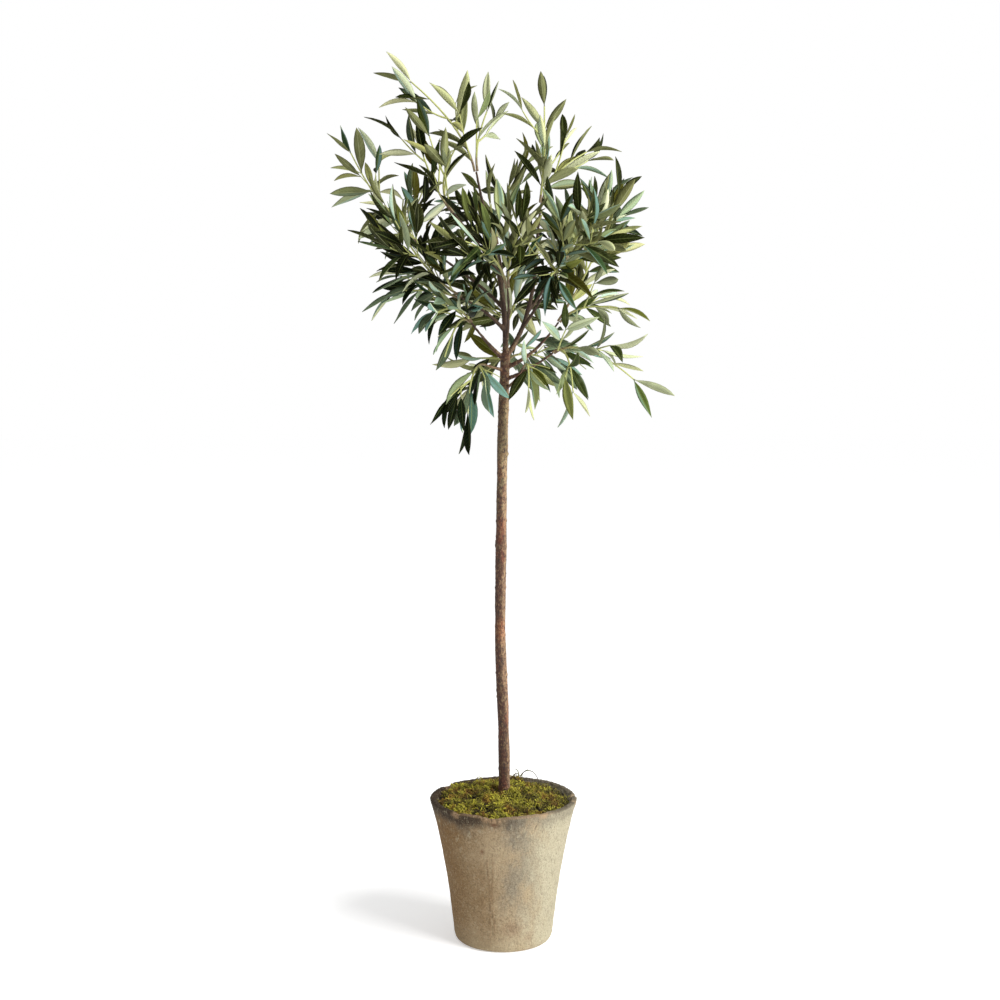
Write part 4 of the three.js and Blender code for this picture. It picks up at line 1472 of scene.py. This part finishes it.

# %% [markdown]
# Old clay has many layers of colour: an ochre ground over brown, which shows on the left, away from
# the lamp, as partly painted shade; a chalky bloom on the light side, with painted light there as
# well; soot that gathered under the lip, smoke in a plume, fine dark grit, and paler clay where a
# chip is fresh. Painted light and shade also lie on the relief, pale on its crests and dark in its
# creases, and the foot is paler with painted light bounced from the floor. Each layer has one mask,
# most of them made of noise and height, and lies over the last one.

# %% Pot material
CLAY_GROUND = (173, 154, 123)
CLAY_BROWN = (124, 95, 58)
CLAY_SMOKE = (92, 90, 84)
CLAY_SOOT = (58, 45, 32)
CLAY_GRIT = (66, 52, 38)
CLAY_PALE = (196, 186, 156)
CLAY_LOOKS = {
    "ground": (1.0, CLAY_GROUND),
    "chalky_bloom_and_light": (1.0, (186, 177, 150)),
    "plume": (0.5, CLAY_SMOKE),
    "haze": (0.44, CLAY_SMOKE),
    "soot": (0.95, CLAY_SOOT),
    "runs": (0.4, (108, 76, 48)),
    "stains": (0.85, (102, 62, 40)),
    "dark specks": (0.28, CLAY_GRIT),
    "pale specks": (0.18, CLAY_PALE),
    "painted_light_on_wrinkles": (1.0, CLAY_PALE),
    "painted_shade_in_creases": (1.0, CLAY_GRIT),
    "painted floor bounce": (0.2, CLAY_PALE),
    "grit": (0.36, CLAY_GRIT),
    "sooty lip": (0.6, CLAY_SOOT),
    "worn lip": (0.45, (166, 136, 104)),
    "fresh chips": (0.6, (182, 150, 114)),
}
CLAY_NOISES = {
    "broad": (11.0, 4.0, 0.6), "cloud": (24.0, 6.0, 0.64, 0.55), "specks": (330.0, 5.0, 0.65),
    "grit": (620.0, 2.0, 0.6), "crackle": (190.0, 4.0, 0.6, 0.6),
}


def clay_material():
    material, net = new_material("old smoked clay")
    place = net.object_place()
    aside, depth, height = net.axes(place)
    broad, cloud, specks, grit, crackle = net.noises(place, CLAY_NOISES)
    cloud = cloud - 0.5
    beside = aside + cloud * 0.1
    plume = beside.between(-0.03, 0.02) * beside.between(0.08, 0.03)
    blotches = (crackle * 0.4 + cloud * 1.2).between(0.05, 0.35)
    under_lip = (height + cloud * 0.05 + crackle * 0.03).between(0.23, 0.248)
    # painted light and shade of the relief: pale on the crackle's crests, dark in its creases, more
    # near the top
    relief_paint_share = 0.22 + height.between(0.18, 0.22) * 0.2
    lip = (height + cloud * 0.006).between(0.2395, 0.2435)
    front = depth.between(-0.08, -0.115)
    colour = net.layered(CLAY_BROWN, CLAY_LOOKS, {
        # ochre on the right fading to brown on the left, away from the lamp: partly painted shade
        "ground": (aside * 5 + (broad - 0.5) * 0.7).between(-0.55, 0.2),
        # chalky bloom, and painted light on the right, lit side
        "chalky_bloom_and_light": (aside * 9 + cloud * 1.4).between(0.1, 0.8),
        "plume": plume * blotches * height.between(0.03, 0.12),
        "haze": (height + cloud * 0.16).between(0.19, 0.245) * (1 - aside.between(0.0, 0.09) * 0.6),
        "soot": under_lip * (1 - aside.between(-0.06, 0.03) * 0.75),
        "runs": net.attribute("run"),
        "stains": net.attribute("stain"),
        "dark specks": specks.between(0.49, 0.62),
        "pale specks": specks.between(0.46, 0.36),
        "painted_light_on_wrinkles": crackle.between(0.56, 0.68) * relief_paint_share,
        "painted_shade_in_creases": crackle.between(0.43, 0.34) * relief_paint_share,
        # painted light: the foot is paler, as if lit by light bounced from the floor
        "painted floor bounce": height.between(0.06, 0.0),
        "grit": grit.between(0.56, 0.7),
        "sooty lip": lip * (1 - front),
        "worn lip": lip * front,
        "fresh chips": net.attribute("chipped") * crackle.between(0.3, 0.55),
    })
    relief = specks + crackle * 1.8 + grit * 0.3
    net.surface(base_color=colour, roughness=0.85 + grit * 0.1, specular_ior_level=0.25,
                normal=net.bump(relief, 1.0, 0.003))
    return material


pot_piece.data.materials.append(clay_material())
shown(pot_piece, ["pot"])

# %% [markdown]
# ## Fill and moss
#
# The cement that weighs the pot is nearly hidden, so its solid stays and gets a gritty material.
# Over it lies a pad of dry moss: a lumpy mound, and thousands of short curled sprigs set out over it
# by Geometry Nodes, each a few thin blades.

# %% Fill material
CEMENT_DAMP = (72, 60, 46)
CEMENT_LOOKS = {"dry": (1.0, (104, 90, 70)), "grit": (0.6, (138, 124, 102))}
CEMENT_NOISES = {"grit": (260.0, 4.0, 0.7), "damp": (30.0, 2.0)}


def cement_material():
    material, net = new_material("gritty cement")
    grit, damp = net.noises(net.object_place(), CEMENT_NOISES)
    colour = net.layered(CEMENT_DAMP, CEMENT_LOOKS, {
        "dry": damp.between(0.4, 0.65),
        "grit": grit.between(0.55, 0.75),
    })
    net.surface(base_color=colour, roughness=0.95, normal=net.bump(grit, 0.6, 0.002))
    return material


for material_slot in frame["nodes"]["fill"].material_slots:
    material_slot.material = cement_material()
print("fill slots:", len(frame["nodes"]["fill"].material_slots))

# %% Moss mound
MOSS_FOOT = {"reach": 100, "height": 206}
MOSS_REACH = 116
MOSS_EDGE_TOP = 229
MOSS_MIDDLE_TOP = 250
MOSS_RINGS = 44
MOSS_SIDES = 150
MOSS_LUMP = 6.5
MOSS_BARE = (104, 110)
MOSS_SLOPE = (-0.01, 0.015)
MOSS_TUFT = {"place": (26, 80), "reach": 11, "height": 9}


def moss_mound():
    profile = [(0, MOSS_FOOT["height"]), (MOSS_FOOT["reach"], MOSS_FOOT["height"])]
    for part in np.linspace(0, 1, MOSS_RINGS):
        rise = math.sin(part * math.pi / 2)
        profile.append((MOSS_REACH * (1 - part), lerp(MOSS_EDGE_TOP, MOSS_MIDDLE_TOP, rise)))
    mesh = turned("moss_mound", np.array(profile), MOSS_SIDES)
    points = points_of(mesh)[0] / MM
    flat = points * (1, 1, 0)
    clump = noise_at(flat, 0.045) + noise_at(flat, 0.11, 4.0)
    off = np.linalg.norm(points[:, :2] - MOSS_TUFT["place"], axis=1) / MOSS_TUFT["reach"]
    lift = MOSS_LUMP * clump + points[:, :2] @ MOSS_SLOPE + MOSS_TUFT["height"] * np.exp(-(off ** 2))
    points[:, 2] += np.where(points[:, 2] > MOSS_FOOT["height"] + 1, lift, 0)
    around = np.hypot(points[:, 0], points[:, 1])
    move_points(mesh, points * MM)
    mesh.attributes.new("clump", "FLOAT", "POINT").data.foreach_set("value", clump)
    keep_values(mesh, room=1 - smooth_step(around, *MOSS_BARE))
    return mesh


mound = moss_mound()
print("moss mound points:", len(mound.vertices))

# %% Moss sprigs
SPRIG_BLADES = 7
SPRIG_KINDS = 5
SPRIG_SEED = 40
SPRIG_TURN = 0.4
SPRIG_HALF = (0.45, 0.8)
SPRIG_LENGTH = (7.0, 17.0)
SPRIG_RISE = (0.28, 0.5)
SPRIG_SWAY = 0.3
STRAND_WAY = ((0.0, 0.0), (0.3, 0.75), (0.65, 1.0), (1.0, 0.35))


def moss_sprig(number, bunch):
    """A few narrow strands that arch over from one foot."""
    draws = Draws(SPRIG_SEED + number)
    points, faces, along = [], [], []
    for blade in range(SPRIG_BLADES):
        turn = blade * GOLDEN_TURN + draws.between(-SPRIG_TURN, SPRIG_TURN)
        out = np.array((math.cos(turn), math.sin(turn), 0))
        side = np.array((-out[1], out[0], 0))
        half = side * draws.between(*SPRIG_HALF)
        length, rise = draws.between(*SPRIG_LENGTH), draws.between(*SPRIG_RISE)
        sway = side * draws.between(-SPRIG_SWAY, SPRIG_SWAY) * length
        first = len(points)
        for step, (far, high) in enumerate(STRAND_WAY):
            place = out * length * far * (1 - rise) + UP * length * high * rise + sway * far ** 2
            points += [place - half, place + half] if far < 1 else [place]
            along += [far] * (2 if far < 1 else 1)
            if step:
                last = first + 2 * step - 2
                end = (last + 3, last + 2) if far < 1 else (last + 2,)
                faces.append((last, last + 1, *end))
    mesh = mesh_of(f"sprig_{number}", np.array(points) * MM, faces=faces, along=along)
    placed(f"sprig_{number}", mesh, bunch)


bunch = bpy.data.collections.new("moss sprigs")
for number in range(SPRIG_KINDS):
    moss_sprig(number, bunch)

# %% Moss pad by Geometry Nodes
SPRIG_DENSITY = 90000.0
SPRIG_SIZE = (0.6, 1.4)
MOSS_SEED = 5
CLUMP_BARE = (-0.35, 0.1)
FACING_UP = 0.1


def drawn(net, kind, low, high, seed):
    """A random value for each point or instance, a number or a whole number."""
    first = {"FLOAT": 2, "INT": 4}[kind]
    return net.node("FunctionNodeRandomValue", {"data_type": kind}, {
        first: low, first + 1: high, "Seed": seed}, out=first // 2)


def moss_net():
    net, entry = geometry_net("moss sprigs on a mound", [
        ("Sprigs", "NodeSocketCollection", None), ("Density", "NodeSocketFloat", 100000.0),
        ("Seed", "NodeSocketInt", 0), ("Material", "NodeSocketMaterial", None)])
    up = net.axes(net.node("GeometryNodeInputNormal"))[2]
    density = entry.also("Density") * named(net, "clump").between(*CLUMP_BARE)
    scatter = net.node("GeometryNodeDistributePointsOnFaces", None, {
        "Mesh": entry, "Selection": up.math("GREATER_THAN", FACING_UP),
        "Density": density * named(net, "room"), "Seed": entry.also("Seed")})
    spin = net.node("FunctionNodeAxisAngleToRotation", None, {
        "Axis": (0.0, 0.0, 1.0), "Angle": drawn(net, "FLOAT", 0.0, 2 * math.pi, 1)})
    turn = net.node("FunctionNodeRotateRotation", {"rotation_space": "LOCAL"}, {
        0: scatter.also("Rotation"), 1: spin})
    sprigs = set_out(net, scatter, entry.also("Sprigs"), drawn(net, "INT", 0, SPRIG_KINDS - 1, 2),
                     turn, drawn(net, "FLOAT", *SPRIG_SIZE, 3))
    toned = net.node("GeometryNodeStoreNamedAttribute", {
        "data_type": "FLOAT", "domain": "INSTANCE"}, {
        0: sprigs, "Name": "tone", "Value": drawn(net, "FLOAT", 0.0, 1.0, 4)})
    both = net.node("GeometryNodeJoinGeometry", None, {0: entry})
    net.tree.links.new(toned.socket, both.socket.node.inputs[0])
    end_tree(net, both, False, (True, entry.also("Material")))
    return net


MOSS_DULL = (96, 86, 24)
MOSS_GAP = (26, 17, 9)
MOSS_LOOKS = {
    "fresh": (1.0, (192, 184, 56)),
    "brown": (0.65, (140, 88, 32)),
    "painted shade under sprigs": (0.95, MOSS_GAP),
    "painted shade in hollows": (0.7, MOSS_GAP),
    "shaded": (1.0, MOSS_GAP),
    "specks": (0.4, MOSS_GAP),
}
MOSS_NOISES = {"patches": (42.0, 4.0, 0.6), "fine": (420.0, 2.0), "hollows": (62.0, 2.0)}


def moss_material():
    material, net = new_material("dry moss")
    place = net.object_place()
    patches, fine, hollows = net.noises(place, MOSS_NOISES)
    aside = net.axes(place)[0]
    clump = net.attribute("clump")
    tone = net.attribute("tone") * 0.6 + clump.between(-0.2, 0.5) * 0.5
    colour = net.layered(MOSS_DULL, MOSS_LOOKS, {
        "fresh": tone.between(0.25, 1.0),
        "brown": patches.between(0.5, 0.6),
        # painted shade under the sprigs, on the mound between them, and in the mound's hollows
        "painted shade under sprigs": net.attribute("along").between(0.55, 0.0),
        "painted shade in hollows": clump.between(0.06, -0.3),
        "shaded": hollows.between(0.52, 0.38) * 0.45 + aside.between(-0.02, 0.1) * 0.25,
        "specks": fine.between(0.55, 0.75),
    })
    net.surface(base_color=colour, roughness=0.9, normal=net.bump(fine, 0.5, 0.001))
    return material


moss_piece = baked("moss_pad", mound, moss_net(), sprigs=bunch, density=SPRIG_DENSITY,
                   seed=MOSS_SEED, material=moss_material())
shown(moss_piece, ["moss"])

# %% [markdown]
# A few wiry tendrils have come loose at the back of the moss and arch over the rim. They are tubes
# like the twigs, each through a few points.

# %% Moss tendrils
TENDRILS = [
    [(28, 78, 252), (33, 79, 261), (40, 80, 266), (48, 80, 266), (55, 80, 262), (61, 80, 252)],
    [(26, 78, 250), (27, 79, 260), (25, 79, 267), (21, 79, 270)],
    [(34, 78, 250), (33, 80, 258), (36, 79, 264), (43, 78, 269)],
    [(12, 74, 248), (17, 76, 258), (24, 77, 262), (31, 77, 257)],
    [(-52, 84, 238), (-50, 90, 246), (-44, 94, 251), (-38, 95, 249)],
]
TENDRIL_RADIUS = (1.0, 0.55)
TENDRIL_PARTS = 14
TENDRIL_BROWN = (64, 44, 26)
TENDRIL_GREEN = (104, 104, 44)


def tendril_lines():
    parts = np.linspace(0, 1, TENDRIL_PARTS)
    radius = [lerp(*TENDRIL_RADIUS, part) for part in parts]
    curves = [Sway(np.array(way, dtype=float)) for way in TENDRILS]
    return [([curve.point(part) for part in parts], radius) for curve in curves]


def tendril_material():
    material, net = new_material("dry tendril")
    shade = net.noise(net.object_place(), 90.0)
    colour = net.mix(shade.between(0.4, 0.6), TENDRIL_BROWN, TENDRIL_GREEN)
    net.surface(base_color=colour, roughness=0.8)
    return material


tendrils = baked("moss_tendrils", line_mesh("tendril_lines", tendril_lines()), TUBES,
                 sides=TWIG_SIDES, material=tendril_material())
shown(tendrils, ["moss"])

# %% [markdown]
# Last, the helper shapes go.

# %% Finish
for helper in [*shelf.objects, *bunch.objects]:
    bpy.data.objects.remove(helper)
for collection in (shelf, bunch):
    bpy.data.collections.remove(collection)
